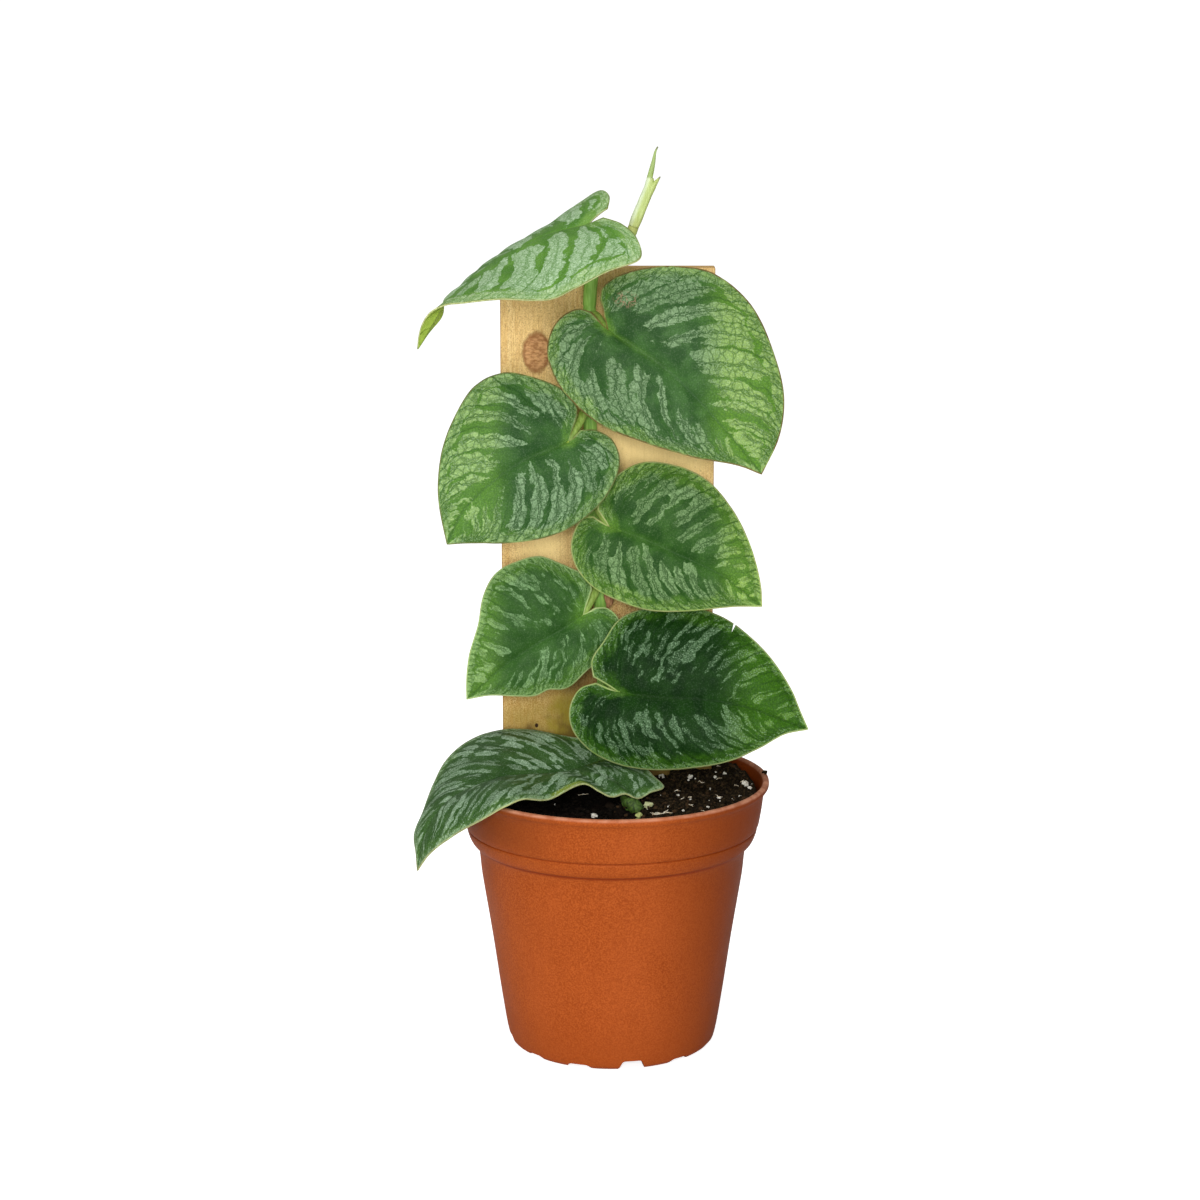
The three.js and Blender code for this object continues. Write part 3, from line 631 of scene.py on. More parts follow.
class LeafFinish(Finish):
    """The upper face of a blade: deep green along the veins, silver patches between them, cut by a fine
    net of small veins, and lighter, yellower green towards the margin and the tip, and past the plank,
    where it is painted light shining through the blade.

    The uv map "veins" holds how many side veins lie between the stalk and a point, and the share of the
    way from the midrib to the margin. "sizes" holds the room between two side veins and the distance
    from the midrib, "edge" and "base" the distance from the margin and from the stalk, all in mm, and
    "along" the share of the way from the stalk to the tip."""

    def __init__(self, name, number, look):
        super().__init__(name, roughness=0.5, specular=look["shine"])
        self.number = number
        self.look = look
        phase, self.outward, _ = self.split(self.node("UVMap", {}, uv_map="veins"))
        room, self.out, _ = self.split(self.node("UVMap", {}, uv_map="sizes"))
        self.edge = self.attribute("edge")
        self.base = self.attribute("base")
        self.along = self.attribute("along")
        self.room = room * (1 / look["veins"])
        crook = (self.noise(4.5, 3) - 0.5) * look["wander"] / self.room
        self.bent = phase * look["veins"] + crook
        cell = self.bent.math("FLOOR")
        self.part = self.bent - cell
        self.chance = self.node("TexWhiteNoise", {"W": cell + 7.3 * number}, noise_dimensions="1D")
        self.aside = abs(self.part - 0.5) * self.room
        self.to_vein = self.room * 0.5 - self.aside
        bend = self.node("TexNoise", {"Vector": self.place, "Scale": 0.5}, output=1)
        self.bent_place = self.node("VectorMath", {0: self.place, 1: bend}, operation="ADD")

    def arches(self):
        """Arches that join the side veins near the margin. Gives back how far a point is from them."""
        look = self.look
        self.shore = self.edge + self.outward.ramp(0.5, 0.3, 0, 14)
        bow = self.shore + (self.noise(3.5, 2) - 0.5) * 3 - abs(self.part - 0.5) * look["rise"]
        from_arch = bow - look["arches"]
        self.outside = from_arch.ramp(0.4, -0.4)
        return abs(from_arch) - look["arch_band"]

    def patches(self):
        """Silver patches between the side veins: pointed at both ends, with torn edges."""
        look = self.look
        slender = self.along.ramp(0.3, 1, 1, 0.35)
        band = slender * self.outward.ramp(0.05, 0.85, look["band"], look["outer_band"])
        start = slender * (self.chance * look["stagger"] + look["start"])
        off_arch = self.arches()
        depth = (self.to_vein - band).least((self.out - start) * 0.4)
        depth = (depth + self.outside * 6).least(off_arch)
        blots = self.vector(self.bent * 1.1, self.out * look["breaks"], 5.9 * self.number)
        gaps = self.noise(1, 2, place=blots).ramp(0.42, 0.62, -0.6, look["gaps"])
        gaps = gaps + self.noise(9, 2).ramp(0.42, 0.58, look["bare"], 0)
        gaps = gaps * self.shore.ramp(look["full"], 2.5, 1, look["rim_gaps"])
        fibres = self.vector(self.bent * look["streaks"], self.out * 0.28, 3.1 * self.number)
        torn = (self.noise(1, 4, place=fibres, rough=0.65) - 0.5) * look["torn"]
        fray = (self.noise(0.8, 3, rough=0.6) - 0.5) * look["fray"]
        return (depth - gaps + torn + fray).ramp(-look["soft"], look["soft"])

    def cells(self, scale, feature, output=0):
        """Small cells with crooked walls: the distance to a wall, or a colour for each."""
        return self.node("TexVoronoi", {"Vector": self.bent_place, "Scale": scale}, output, feature=feature)

    def small_veins(self):
        """One through the middle of each patch, its branches, a fine net, and strands by the margin."""
        look = self.look
        middle = abs(self.aside + (self.noise(2.2, 2) - 0.5) * 1.5 - 0.25).ramp(0.36, 0.14)
        slanted = (self.out - self.aside * 0.9) * 0.36 + self.noise(3.4, 2)
        branch = abs(slanted.math("FRACT") - 0.5).ramp(0.08, 0.03, 0, 0.65)
        net = self.cells(NET_SCALE, "DISTANCE_TO_EDGE").ramp(look["net"], 0.03, 0, 0.75)
        strands = 0.5 - abs((self.bent * look["small"]).math("FRACT") - 0.5)
        strands = (strands * self.room / look["small"]).ramp(0.34, 0.12) * self.outside
        return middle.most(branch, net, strands) * self.out.ramp(1.5, 5) * look["lines"]

    def ripe_and_backlit_zone(self):
        """Where the blade is yellower: along the margin and at the tip, and where no plank lies behind it,
        as painted light shining through it.
        """
        look = self.look
        self.drift = (self.noise(6, 3) - 0.5) * 9
        rim = (self.edge + self.drift).ramp(look["rim"] + 3.5, look["rim"], 0, 0.75)
        # painted light: yellower past the plank's edges, as if light shone through the blade
        backlit = (self.x + self.drift * 0.4).ramp(*look["past_plank"])
        tip = (self.along + self.drift * 0.02).ramp(0.72, 1.05, 0, look["ripe"])
        return rim.most(backlit, tip)

    def blade_colours(self, silver, line, zone, mottle):
        """Green and silver, both yellower in the ripe zone, with dark lines along all the veins."""
        look = self.look
        green = self.mix(self.noise(7, 3).ramp(0.35, 0.65), look["deep"], look["green"])
        green = self.mix(self.outward.ramp(0.3, 0.9, 0, 0.5), green, look["green"])
        ripe = self.mix(mottle.ramp(0.3, 0.7, 0, 0.4), look["edge"], look["green"])
        green = self.mix(zone, green, ripe)
        shade = self.node("SeparateColor", {0: self.cells(GRAIN_SCALE, "F1", output=1)}) * 0.3
        pale = self.mix(mottle.ramp(0.3, 0.7), look["silver"], look["sheen"])
        pale = self.mix(shade, pale, look["green"])
        pale = self.mix(zone * 0.85, pale, self.mix(shade, look["yellow_pale"], look["edge"]))
        strength = self.chance.ramp(0.2, 1, 1, look["faintest"]) * look["strength"]
        self.ground(silver * strength.most(zone * look["yellow_strength"]), green, pale)
        dark = self.mix(zone * 0.35, look["deep"], look["edge"])
        self.coat(dark, line * silver.ramp(0, 1, 0.2, 0.85))
        self.coat(dark, self.to_vein.ramp(0.5, 0.12) * self.outward.ramp(0.1, 0.9, 0.1, 0.75))
        self.coat(dark, self.edge.ramp(1.6, 2.1) * self.edge.ramp(3.2, 2.6) * 0.4)

    def midrib(self):
        """The line of the midrib, and the fresh green spot over the stalk."""
        look = self.look
        self.coat(look["deep"], self.out.ramp(0.8, 0.2) * self.base.ramp(34, 8, 0.35, look["rib"]))
        self.coat(look["edge"], self.out.ramp(1.7, 0.3) * self.base.ramp(30, 3, 0, look["ribbed"]))
        heart = self.base + self.noise(2.5, 3) * 3 - 1.5
        self.coat(look["heart"], heart.ramp(look["fresh"], 1, 0, look["freshness"]))

    def tail(self, colour):
        """The underside that shows where the first leaf's tip is twisted, paler at its end."""
        twisted = (self.along + self.drift * 0.004).ramp(0.8, 0.87)
        self.coat(colour, twisted.most(self.x.ramp(-56, -57.5) * self.z.ramp(259.5, 258)))
        self.coat(tint(150, 172, 112), self.z.ramp(249, 247, 0, 0.7))

    def scar(self, x, z):
        """Thin dry scratches round a place."""
        scratches = abs(self.noise(1.8, 3) - 0.5).ramp(0.05, 0.015)
        self.coat(tint(176, 136, 112), self.distance(x, z, 1.5).ramp(5, 2.5) * scratches * 0.75)

    def flap(self, colour):
        """The underside that shows along the seventh leaf's curled margin."""
        curl = self.edge.ramp(2.4, 1.5) * self.x.ramp(-22, -19) * self.x.ramp(-3, -8)
        self.coat(colour, curl * self.y.ramp(-12, -16))

    def speckle(self, silver):
        """The blade's grain, and its thin margin, with wear and a painted highlight."""
        look = self.look
        seams = self.cells(GRAIN_SCALE, "DISTANCE_TO_EDGE").ramp(0.24, 0.05)
        self.coat(look["deep"], seams * silver.ramp(0, 1, 0.3, 0.24))
        self.coat(look["deep"], self.noise(0.38, 2).ramp(0.45, 0.65, 0, 0.3))
        glints = self.noise(0.45, 2).ramp(0.5, 0.68) * silver.ramp(0, 1, look["dust"], 0.45)
        self.coat(look["sheen"], glints)
        # the thin margin: wear mixed with a painted pale highlight
        worn_and_highlit = self.mix(self.noise(5, 2).ramp(0.5, 0.7, 0, 0.7), look["margin"], look["yellow_pale"])
        self.coat(worn_and_highlit, self.edge.ramp(0.6, 0.3, 0, 0.85))

    def finish(self):
        silver = self.patches()
        line = self.small_veins()
        mottle = self.noise(0.55, 2)
        self.blade_colours(silver, line, self.ripe_and_backlit_zone(), mottle)
        self.midrib()
        if "tail" in self.look:
            self.tail(self.look["tail"])
        if "scar" in self.look:
            self.scar(*self.look["scar"])
        if "flap" in self.look:
            self.flap(self.look["flap"])
        self.speckle(silver)
        relief = silver * 0.35 - line * 0.6 + mottle * 0.25
        return self.done(relief, 0.12, silver.ramp(0, 1, 0.46, 0.55))


def underside_finish(name, shade, light):
    """The matt lower face of a blade, with a faint net of veins."""
    made = Finish(name, roughness=0.6, specular=0.15)
    phase, _, _ = made.split(made.node("UVMap", {}, uv_map="veins"))
    room, _, _ = made.split(made.node("UVMap", {}, uv_map="sizes"))
    raised = ((0.5 - abs(phase.math("FRACT") - 0.5)) * room).ramp(0.7, 0.2)
    cloud = made.noise(5, 3)
    made.ground(cloud.ramp(0.3, 0.7), shade, light)
    made.coat(light, made.noise(0.6, 2).ramp(0.4, 0.7, 0, 0.3))
    made.coat(light, raised * 0.5)
    return made.done(raised + cloud * 0.5, 0.25)


# Blades

def vein_lines(ends, out):
    """Where each side vein crosses the rows, for each share of the way out to the margin."""
    last_root, last_stop = ends[-1]
    more = max(round((1 - last_root) / TIP_VEIN_ROOM) - 1, 0)
    shares = [i / (more + 1) for i in range(1, more + 1)]
    ends = [*ends, *((last_root + (1 - last_root) * f, last_stop + (1 - last_stop) * f) for f in shares)]
    roots = [0, *(root ** (1 / RIB_ADVANCE) for root, _ in ends), 1]
    stops = [0, *(stop for _, stop in ends), 1]
    return [root + (stop - root) * out**VEIN_BEND for root, stop in zip(roots, stops)]


def vein_count(lines, shares):
    """How many side veins lie between the stalk and each point of half a blade."""
    count = np.zeros((len(shares), len(lines[0])))
    for low, high in zip(lines, lines[1:]):
        count += np.clip((shares[:, None] - low) / np.maximum(high - low, 1e-4), 0, 1)
    return count


def gradients(values):
    """How values change from the stalk to the tip, and from the midrib to the margin."""
    return np.gradient(values, 1 / BLADE_ROWS, axis=0), np.gradient(values, 1 / BLADE_COLUMNS, axis=1)


def per_millimetre(half, values):
    """How fast values change over a half blade's surface, per millimetre."""
    along, out = gradients(half)
    grow_along, grow_out = gradients(values)
    e, f, g = (out**2).sum(-1), (out * along).sum(-1), (along**2).sum(-1)
    area = np.maximum(e * g - f**2, 1.0)
    squared = e * grow_along**2 - 2 * f * grow_out * grow_along + g * grow_out**2
    return np.sqrt(np.maximum(squared, 0) / area)


def half_blade(leaf, side, start, shares, out):
    """The points of one half of a blade by row and column, and what its finish has to know."""
    reach = np.ones((BLADE_ROWS + 1, 1)) * out
    along = shares.copy()
    for row, bite in leaf.get(side + "_tears", []):
        beside = shares - row / BLADE_ROWS
        along -= TEAR_PULL * beside * np.exp(-((beside / TEAR_WIDTH) ** 2))
        reach[row] *= 1 - bite * out**4
    margin = Course([*leaf[side], leaf["midrib"][-1]]).at(along)
    half = start[:, None] + reach[:, :, None] * (margin - start)[:, None]
    rows = shares[:, None] * np.ones_like(reach)
    count = vein_count(vein_lines(leaf[side + "_veins"], out), shares)
    rates = [np.maximum(per_millimetre(half, values), 1e-3) for values in (count, reach, rows)]
    growth, widening, rising = rates
    return half, {
        "count": count,
        "out": reach,
        "room": np.clip(1 / growth, 1.0, 16),
        "from_rib": reach / widening,
        "edge": np.minimum((1 - reach) / widening, rows / rising),
        "width": np.linalg.norm(margin - start, axis=1)[:, None] * np.ones_like(reach),
    }


def joined(left, right):
    """Two half blades side by side, with the midrib's column once."""
    return np.concatenate([left[:, :0:-1], right], axis=1)


def blade_sheet(leaf):
    """The points of a blade's middle surface by row and column, and what its finish has to know."""
    shares = np.linspace(0, 1, BLADE_ROWS + 1)
    out = np.linspace(0, 1, BLADE_COLUMNS + 1)
    start = Course(leaf["midrib"]).at(shares**RIB_ADVANCE)
    halves, sides = zip(*(half_blade(leaf, side, start, shares, out) for side in ("left", "right")))
    sheet = joined(*halves)
    known = {key: joined(*(side[key] for side in sides)) for key in sides[0]}
    normal = np.cross(np.gradient(sheet, axis=1), np.gradient(sheet, axis=0))
    normal[-1] = normal[-2]
    normal /= np.maximum(np.linalg.norm(normal, axis=2, keepdims=True), 1e-9)
    bulge = 4 * leaf["arch"] * known["width"] * known["out"] * (1 - known["out"])
    quilt = QUILTING * np.sin(np.pi * known["count"]) ** 2
    quilt *= np.clip(known["from_rib"] / 6, 0, 1) * np.clip(known["edge"] / 4, 0, 1)
    furrow = FURROW * np.exp(-((known["from_rib"] / FURROW_WIDTH) ** 2)) * (1 - 0.8 * shares[:, None])
    sheet = sheet + normal * (bulge + quilt - furrow)[:, :, None]
    for _ in range(leaf.get("smoothings", 0)):
        sheet[100:-1] = (sheet[99:-2] + 2 * sheet[100:-1] + sheet[101:]) / 4
    known["base"] = np.linalg.norm(sheet - start[0], axis=2)
    known["along"] = shares[:, None] * np.ones_like(known["out"])
    return sheet, normal, known, sides


def blade_shape(sheet, known, sides):
    """A blade's middle surface as a grid, with the maps that its finish reads."""
    bm = bmesh.new()
    bmesh.ops.create_grid(bm, x_segments=2 * BLADE_COLUMNS, y_segments=BLADE_ROWS, size=1)
    layers = {name: bm.verts.layers.float.new(name) for name in ("edge", "base", "along")}
    vein_map = bm.loops.layers.uv.new("veins")
    size_map = bm.loops.layers.uv.new("sizes")
    spot = {}
    for vert in bm.verts:
        row = round((vert.co.y + 1) / 2 * BLADE_ROWS)
        column = round((vert.co.x + 1) * BLADE_COLUMNS)
        spot[vert] = row, column
        place = Vector(sheet[row, column])
        wave = WAVINESS * noise.noise(place * 0.22)
        vert.co = place + Vector((0, -wave, wave))
        for name, layer in layers.items():
            vert[layer] = known[name][row, column]
    for face in bm.faces:
        middle = sum(spot[vert][1] for vert in face.verts) / 4
        right = int(middle > BLADE_COLUMNS)
        side = sides[right]
        for loop in face.loops:
            row, column = spot[loop.vert]
            at = row, abs(column - BLADE_COLUMNS)
            loop[vein_map].uv = side["count"][at] + RIGHT_COUNT * right, side["out"][at]
            loop[size_map].uv = side["room"][at], side["from_rib"][at]
    tip = [vert for vert, (row, _) in spot.items() if row == BLADE_ROWS]
    bmesh.ops.remove_doubles(bm, verts=tip, dist=0.4)
    return bm


def leaf_pieces(number, leaf):
    """A blade with its thickness, and its stalk with the keel along the blade's underside."""
    name = f"leaf_{number}"
    sheet, normal, known, sides = blade_sheet(leaf)
    upper = LeafFinish(f"leaf_{number}_upper", number, MARKINGS | leaf["look"]).finish()
    bm = blade_shape(sheet, known, sides)
    piece = finished(f"blade_{number}", bm, name, "leaf", upper, UNDERSIDE, MARGIN)
    skin = piece.modifiers.new("thickness", "SOLIDIFY")
    skin.thickness = BLADE_THICKNESS * MM
    skin.offset = 0
    skin.use_even_offset = False
    skin.material_offset = 1
    skin.material_offset_rim = 2

    stalk = bmesh.new()
    sweep(stalk, Course(leaf["stalk"]), spread(STALK_RADII), 44, 14)
    keel = (sheet - KEEL_DEPTH * normal)[::4, BLADE_COLUMNS]
    sweep(stalk, Course(keel[1:leaf.get("keel_end", -2)], fine=4), spread(KEEL_RADII), 60, 8)
    green = STALK_SKIN
    if "stub" in leaf:
        sweep(stalk, Course(leaf["stub"]), spread(STUB_RADII), 24, 14)
        # painted shade: the lowest leaf's stalk lies in that leaf's shadow
        green = SHADED_STALK_SKIN
    finished(f"stalk_{number}", stalk, name, "leaf", green)


# The leaves from the top down: the look, how far each half arches for its width, points along the stalk,
# the midrib and both margins, and where each side vein starts on the midrib and ends on the margin, as
# shares of their lengths. A tear is a row of the blade and a share of its half's width.
# In a look, band is the half width of the green along a side vein by the midrib, start is where the silver
# starts from the midrib, rim is how wide the yellower margin is, ripe is how yellow the tip is, and
# past_plank says between which x the blade turns yellower, with painted light shining through it.
# Each look's colours are partly the leaf's own and partly painted light and shade, lighter on leaves that
# face up into the light and darker on leaves in shade.
LEAVES = [
    {
        "look": {
            "deep": tint(72, 118, 40), "green": tint(96, 142, 54), "edge": tint(132, 170, 84),
            "silver": tint(152, 182, 138), "sheen": tint(194, 218, 186), "yellow_pale": tint(184, 206, 148),
            "margin": tint(112, 128, 66), "tail": tint(126, 146, 46), "band": 1.7, "start": 2.5,
            "rim": 3.0, "ripe": 0.3, "past_plank": (200, 201), "arch_band": 0.5, "arches": 4.5,
            "bare": 0.3, "faintest": 0.8, "gaps": 1.1, "lines": 0.75, "net": 0.09, "outer_band": 0.6,
            "rib": 0.2, "torn": 2.0,
        },
        "arch": 0.04,
        "smoothings": 12,
        "keel_end": 20,
        "stalk": [
            (1.5, 19, 277.5), (-1, 13.5, 281), (-5, 9.5, 282.8), (-8.6, 7.6, 282.8), (-15.5, 6, 281.4),
        ],
        "midrib": [
            (-8, 8, 284), (-22.5, 6, 280.5), (-39.5, 1, 271.5), (-51, -5, 263.5), (-56, -9, 259.3),
            (-59, -10.2, 254.5), (-65, -9, 244),
        ],
        "left": [
            (-3, 4, 286.5), (3, -3, 285), (8, -11, 281), (9, -18, 275), (-1.5, -20, 271),
            (-12.5, -22, 265.5), (-20.5, -23, 262), (-37, -22, 262), (-49, -19, 260.5), (-55, -16, 259.5),
            (-60.5, -14, 257), (-64, -12, 250.5),
        ],
        "right": [
            (-1.5, 13, 289), (-1, 19, 292.5), (-4, 25, 294), (-10.5, 29, 290), (-22.5, 29, 281.5),
            (-34, 26, 275), (-45, 18, 268), (-53, 7, 261.5), (-56.5, 0, 259), (-56.5, -4, 254.5),
            (-60, -6, 251),
        ],
        "left_veins": [
            (0, 0.18), (0, 0.29), (0.02, 0.43), (0.11, 0.53), (0.21, 0.64), (0.38, 0.72), (0.53, 0.79),
        ],
        "right_veins": [(0, 0.02), (0.04, 0.2), (0.13, 0.34), (0.23, 0.44), (0.36, 0.55), (0.48, 0.64)],
    },
    {
        "look": {
            "deep": tint(36, 72, 28), "green": tint(64, 104, 48), "edge": tint(98, 144, 44),
            "silver": tint(118, 148, 104), "sheen": tint(152, 180, 138), "yellow_pale": tint(162, 192, 106),
            "margin": tint(120, 96, 56), "band": 2.1, "start": 3.5, "rim": 1.5, "ripe": 0.8,
            "past_plank": (27, 41), "arches": 3.5, "bare": 0.5, "fresh": 3.5, "freshness": 0.5,
            "gaps": 1.2, "net": 0.11, "ribbed": 0.35, "rise": 5, "scar": (4.5, 259), "stagger": 6,
            "veins": 1.2,
        },
        "arch": 0.08,
        "stalk": [
            (-7.5, STEM_DEPTH, 251.5), (-5.5, 14, 252.5), (-3, 8.6, 250), (-1.3, 7.2, 248),
            (4.5, 6.6, 244.6),
        ],
        "midrib": [
            (-1.5, 6, 248.5), (7.5, 4.5, 243), (19.5, 3, 234.5), (39.5, 0, 214), (50.5, -1.5, 200.5),
        ],
        "left": [
            (-4, 8, 258.5), (-3, 9, 263), (6, 10, 268), (22.5, 11.5, 269.5), (34.5, 12, 267),
            (47, 10, 256.5), (54.5, 6.5, 241), (58, 3, 226.5), (56.5, 0.5, 213.5),
        ],
        "right": [
            (-7, 7.5, 254.5), (-12, 8, 255.5), (-18.5, 8, 251.5), (-22, 7.5, 242.5), (-19, 6.5, 231.5),
            (-12, 5, 223), (-3.5, 3.5, 216.5), (9.5, 1.5, 211.5), (26.5, -0.5, 206.5), (42.5, -1.5, 203.5),
        ],
        "left_veins": [(0, 0.15), (0.01, 0.44), (0.12, 0.56), (0.24, 0.67), (0.43, 0.8), (0.57, 0.89)],
        "right_veins": [
            (0, 0.18), (0.01, 0.35), (0.02, 0.55), (0.15, 0.67), (0.28, 0.78), (0.4, 0.86), (0.57, 0.93),
        ],
    },
    {
        "look": {
            "deep": tint(32, 70, 24), "green": tint(58, 98, 42), "edge": tint(96, 142, 52),
            "silver": tint(118, 150, 108), "sheen": tint(154, 184, 142), "yellow_pale": tint(166, 198, 120),
            "margin": tint(112, 118, 66), "band": 1.7, "start": 3.5, "rim": 2.0, "ripe": 0.5,
            "past_plank": (-33, -43), "arches": 3.5, "bare": 0.4, "fresh": 3.5, "freshness": 0.5,
            "gaps": 1.2, "net": 0.11, "small": 2, "stagger": 5, "veins": 1.4,
        },
        "arch": 0.08,
        "stalk": [
            (-7.6, STEM_DEPTH, 222), (-9.5, 15.5, 219.5), (-12.5, 10.6, 214), (-15.2, 9.2, 209.6),
            (-21.5, 8.5, 206.8),
        ],
        "midrib": [(-15, 8, 210), (-23, 7, 207), (-33, 6, 202.5), (-50.5, 4, 187.5), (-56.5, 3, 175.5)],
        "left": [
            (-11, 9, 214), (-6, 9.5, 214), (0, 9.5, 210.5), (2.5, 9, 203), (-1.5, 7.5, 192.5),
            (-11, 6, 183), (-22, 4.5, 178), (-36, 3.5, 176), (-48.5, 3, 176),
        ],
        "right": [
            (-12, 9.5, 218.5), (-12.5, 10.5, 222.5), (-17, 11.5, 227.5), (-26.5, 12.5, 231.5),
            (-37.5, 14, 233), (-47, 13.5, 228.5), (-53.5, 11, 219), (-58, 8.5, 207.5), (-59.5, 6, 195.5),
            (-59, 4.5, 188),
        ],
        "left_veins": [(0, 0.12), (0.01, 0.34), (0.07, 0.51), (0.17, 0.63), (0.31, 0.75), (0.51, 0.88)],
        "right_veins": [(0, 0.16), (0.03, 0.34), (0.09, 0.57), (0.25, 0.72), (0.49, 0.85), (0.67, 0.91)],
    },
    {
        "look": {
            "deep": tint(28, 66, 14), "green": tint(54, 94, 32), "edge": tint(96, 140, 44),
            "silver": tint(110, 142, 92), "sheen": tint(144, 176, 122), "yellow_pale": tint(158, 192, 92),
            "margin": tint(172, 180, 116), "band": 1.15, "start": 1.5, "rim": 3.0, "ripe": 0.7,
            "past_plank": (32, 44), "arches": 2.5, "breaks": 0.13, "fray": 1.3, "fresh": 3,
            "freshness": 0.4, "full": 5, "gaps": 1.2, "lines": 0.9, "net": 0.09, "rise": 3, "small": 2,
            "torn": 2.0, "veins": 1.6, "wander": 3.0,
        },
        "arch": 0.08,
        "stalk": [
            (-6.3, STEM_DEPTH, 188), (-5, 15, 186.5), (-3, 11, 183), (-1, 10.1, 180), (5, 9.7, 177.8),
        ],
        "midrib": [(-1, 9, 180.5), (9.5, 8, 177), (23.5, 6.5, 171), (37, 5.5, 164.5), (51.5, 4.5, 153.5)],
        "left": [
            (-5, 10, 186), (-4.5, 11, 190.5), (-2, 12, 194.5), (2.5, 13, 198.5), (10, 14, 202),
            (20, 14, 201.5), (32, 13, 196.5), (41.5, 10.5, 186), (47.5, 8, 174), (51, 5.5, 161),
        ],
        "right": [
            (-6.5, 10, 184), (-10.5, 10, 183), (-14, 9.5, 175.5), (-13, 8.5, 168), (-7.5, 7.5, 160.5),
            (1.5, 6.5, 155.5), (13, 5.5, 152), (26.5, 4.5, 152), (42, 4.5, 153.5),
        ],
        "left_veins": [
            (0, 0.18), (0.02, 0.3), (0.05, 0.39), (0.19, 0.49), (0.34, 0.6), (0.49, 0.73), (0.64, 0.83),
            (0.81, 0.92),
        ],
        "right_veins": [
            (0, 0.13), (0, 0.24), (0.01, 0.33), (0.11, 0.47), (0.21, 0.66), (0.34, 0.76), (0.47, 0.83),
            (0.62, 0.92),
        ],
    },
    {
        "look": {
            "deep": tint(34, 72, 20), "green": tint(54, 94, 34), "edge": tint(94, 138, 48),
            "silver": tint(110, 148, 96), "sheen": tint(142, 178, 126), "yellow_pale": tint(154, 190, 112),
            "margin": tint(170, 190, 126), "heart": tint(90, 136, 40), "band": 0.8, "start": 3.5,
            "rim": 2.5, "ripe": 0.5, "past_plank": (-35, -45), "arches": 2.5, "bare": 1.0, "breaks": 0.14,
            "fray": 1.2, "fresh": 8, "freshness": 0.4, "full": 5, "gaps": 1.9, "lines": 0.7, "ribbed": 0,
            "yellow_strength": 0.95, "rise": 3, "small": 1, "soft": 0.3, "streaks": 4, "torn": 2.4,
            "veins": 2, "wander": 3.0,
        },
        "arch": 0.07,
        "stalk": [
            (-4.8, STEM_DEPTH, 160), (-5.6, 16.6, 157), (-8, 14, 152.5), (-10.2, 13.2, 148.4),
            (-15.4, 12.4, 144.2),
        ],
        "midrib": [(-10, 12, 149), (-16.5, 11, 144.5), (-26.5, 9.5, 139), (-37, 8.5, 132), (-50.5, 7, 120)],
        "left": [
            (-6, 12.5, 151.5), (-1.5, 13, 151), (2.5, 12.5, 147), (3, 12, 141), (-3, 10.5, 134),
            (-8.5, 9.5, 130), (-14.3, 8.6, 124.6), (-17.5, 8.9, 123.3), (-22, 8.6, 123.2),
            (-26.3, 7.3, 121.4), (-33, 7.6, 121.1), (-42.5, 7, 121.5),
        ],
        "right": [
            (-7, 13.5, 157.5), (-8.5, 14.5, 162), (-14.5, 15, 165), (-19, 15, 167), (-25, 15.5, 169),
            (-33.5, 15.5, 167), (-40.5, 14.5, 163), (-44.5, 13, 156), (-46.5, 11, 145.5),
            (-49.5, 9, 135.5), (-50.5, 8, 127),
        ],
        "left_veins": [
            (0, 0.12), (0, 0.28), (0.03, 0.37), (0.1, 0.47), (0.19, 0.58), (0.29, 0.67), (0.46, 0.79),
            (0.62, 0.91),
        ],
        "right_veins": [
            (0, 0.16), (0.02, 0.27), (0.09, 0.37), (0.19, 0.49), (0.32, 0.58), (0.45, 0.68), (0.6, 0.77),
            (0.72, 0.86),
        ],
    },
    {
        "look": {
            "deep": tint(6, 36, 3), "green": tint(22, 56, 10), "edge": tint(64, 110, 22),
            "silver": tint(84, 122, 78), "sheen": tint(146, 180, 140), "yellow_pale": tint(130, 172, 72),
            "margin": tint(164, 178, 116), "heart": tint(86, 124, 52), "band": 0.6, "start": 3.0,
            "rim": 2.5, "ripe": 0.7, "past_plank": (34, 52), "arches": 2.5, "bare": 1.2, "breaks": 0.2,
            "dust": 0.06, "faintest": 0.35, "fray": 1.0, "fresh": 3, "full": 4, "gaps": 2.0, "lines": 0.35,
            "ribbed": 0.1, "rim_gaps": 0.6, "yellow_strength": 0.48, "rise": 3, "shine": 0.05, "small": 1,
            "soft": 0.4, "stagger": 6, "streaks": 3, "strength": 0.48, "torn": 3.0, "veins": 2.6,
            "wander": 3.0,
        },
        "arch": 0.09,
        "stalk": [
            (-3.2, STEM_DEPTH, 131), (-3, 12.5, 129), (-0.5, 5, 126), (2.2, 2.3, 123.7), (9, 1.4, 122.3),
        ],
        "midrib": [(2.5, 1, 124), (16.5, -0.5, 122.5), (30, -1, 122), (44, -1.5, 120), (67.5, -3.5, 112)],
        "left": [
            (-6.5, 3, 129), (-7, 5, 134.5), (-3, 7.5, 140.5), (3, 11, 148), (14, 13, 151.5),
            (27, 13, 151.5), (38, 11, 148.5), (46.5, 8.5, 143), (55, 4.5, 135), (62, 0.5, 124.5),
            (64.5, -1.5, 118.5),
        ],
        "right": [
            (-5.5, 2.5, 127), (-11, 2.5, 125), (-14.5, 1, 119), (-14, -0.5, 112), (-8, -2, 104.5),
            (2.5, -3.5, 99.5), (14, -4.5, 98), (28.5, -5.5, 99), (40.5, -6, 101.5), (51, -5, 106),
            (59.5, -4, 110.5),
        ],
        "left_tears": [(71, 0.12)],
        "left_veins": [
            (0, 0.11), (0.01, 0.24), (0.05, 0.35), (0.13, 0.45), (0.24, 0.55), (0.36, 0.66), (0.5, 0.78),
            (0.65, 0.86),
        ],
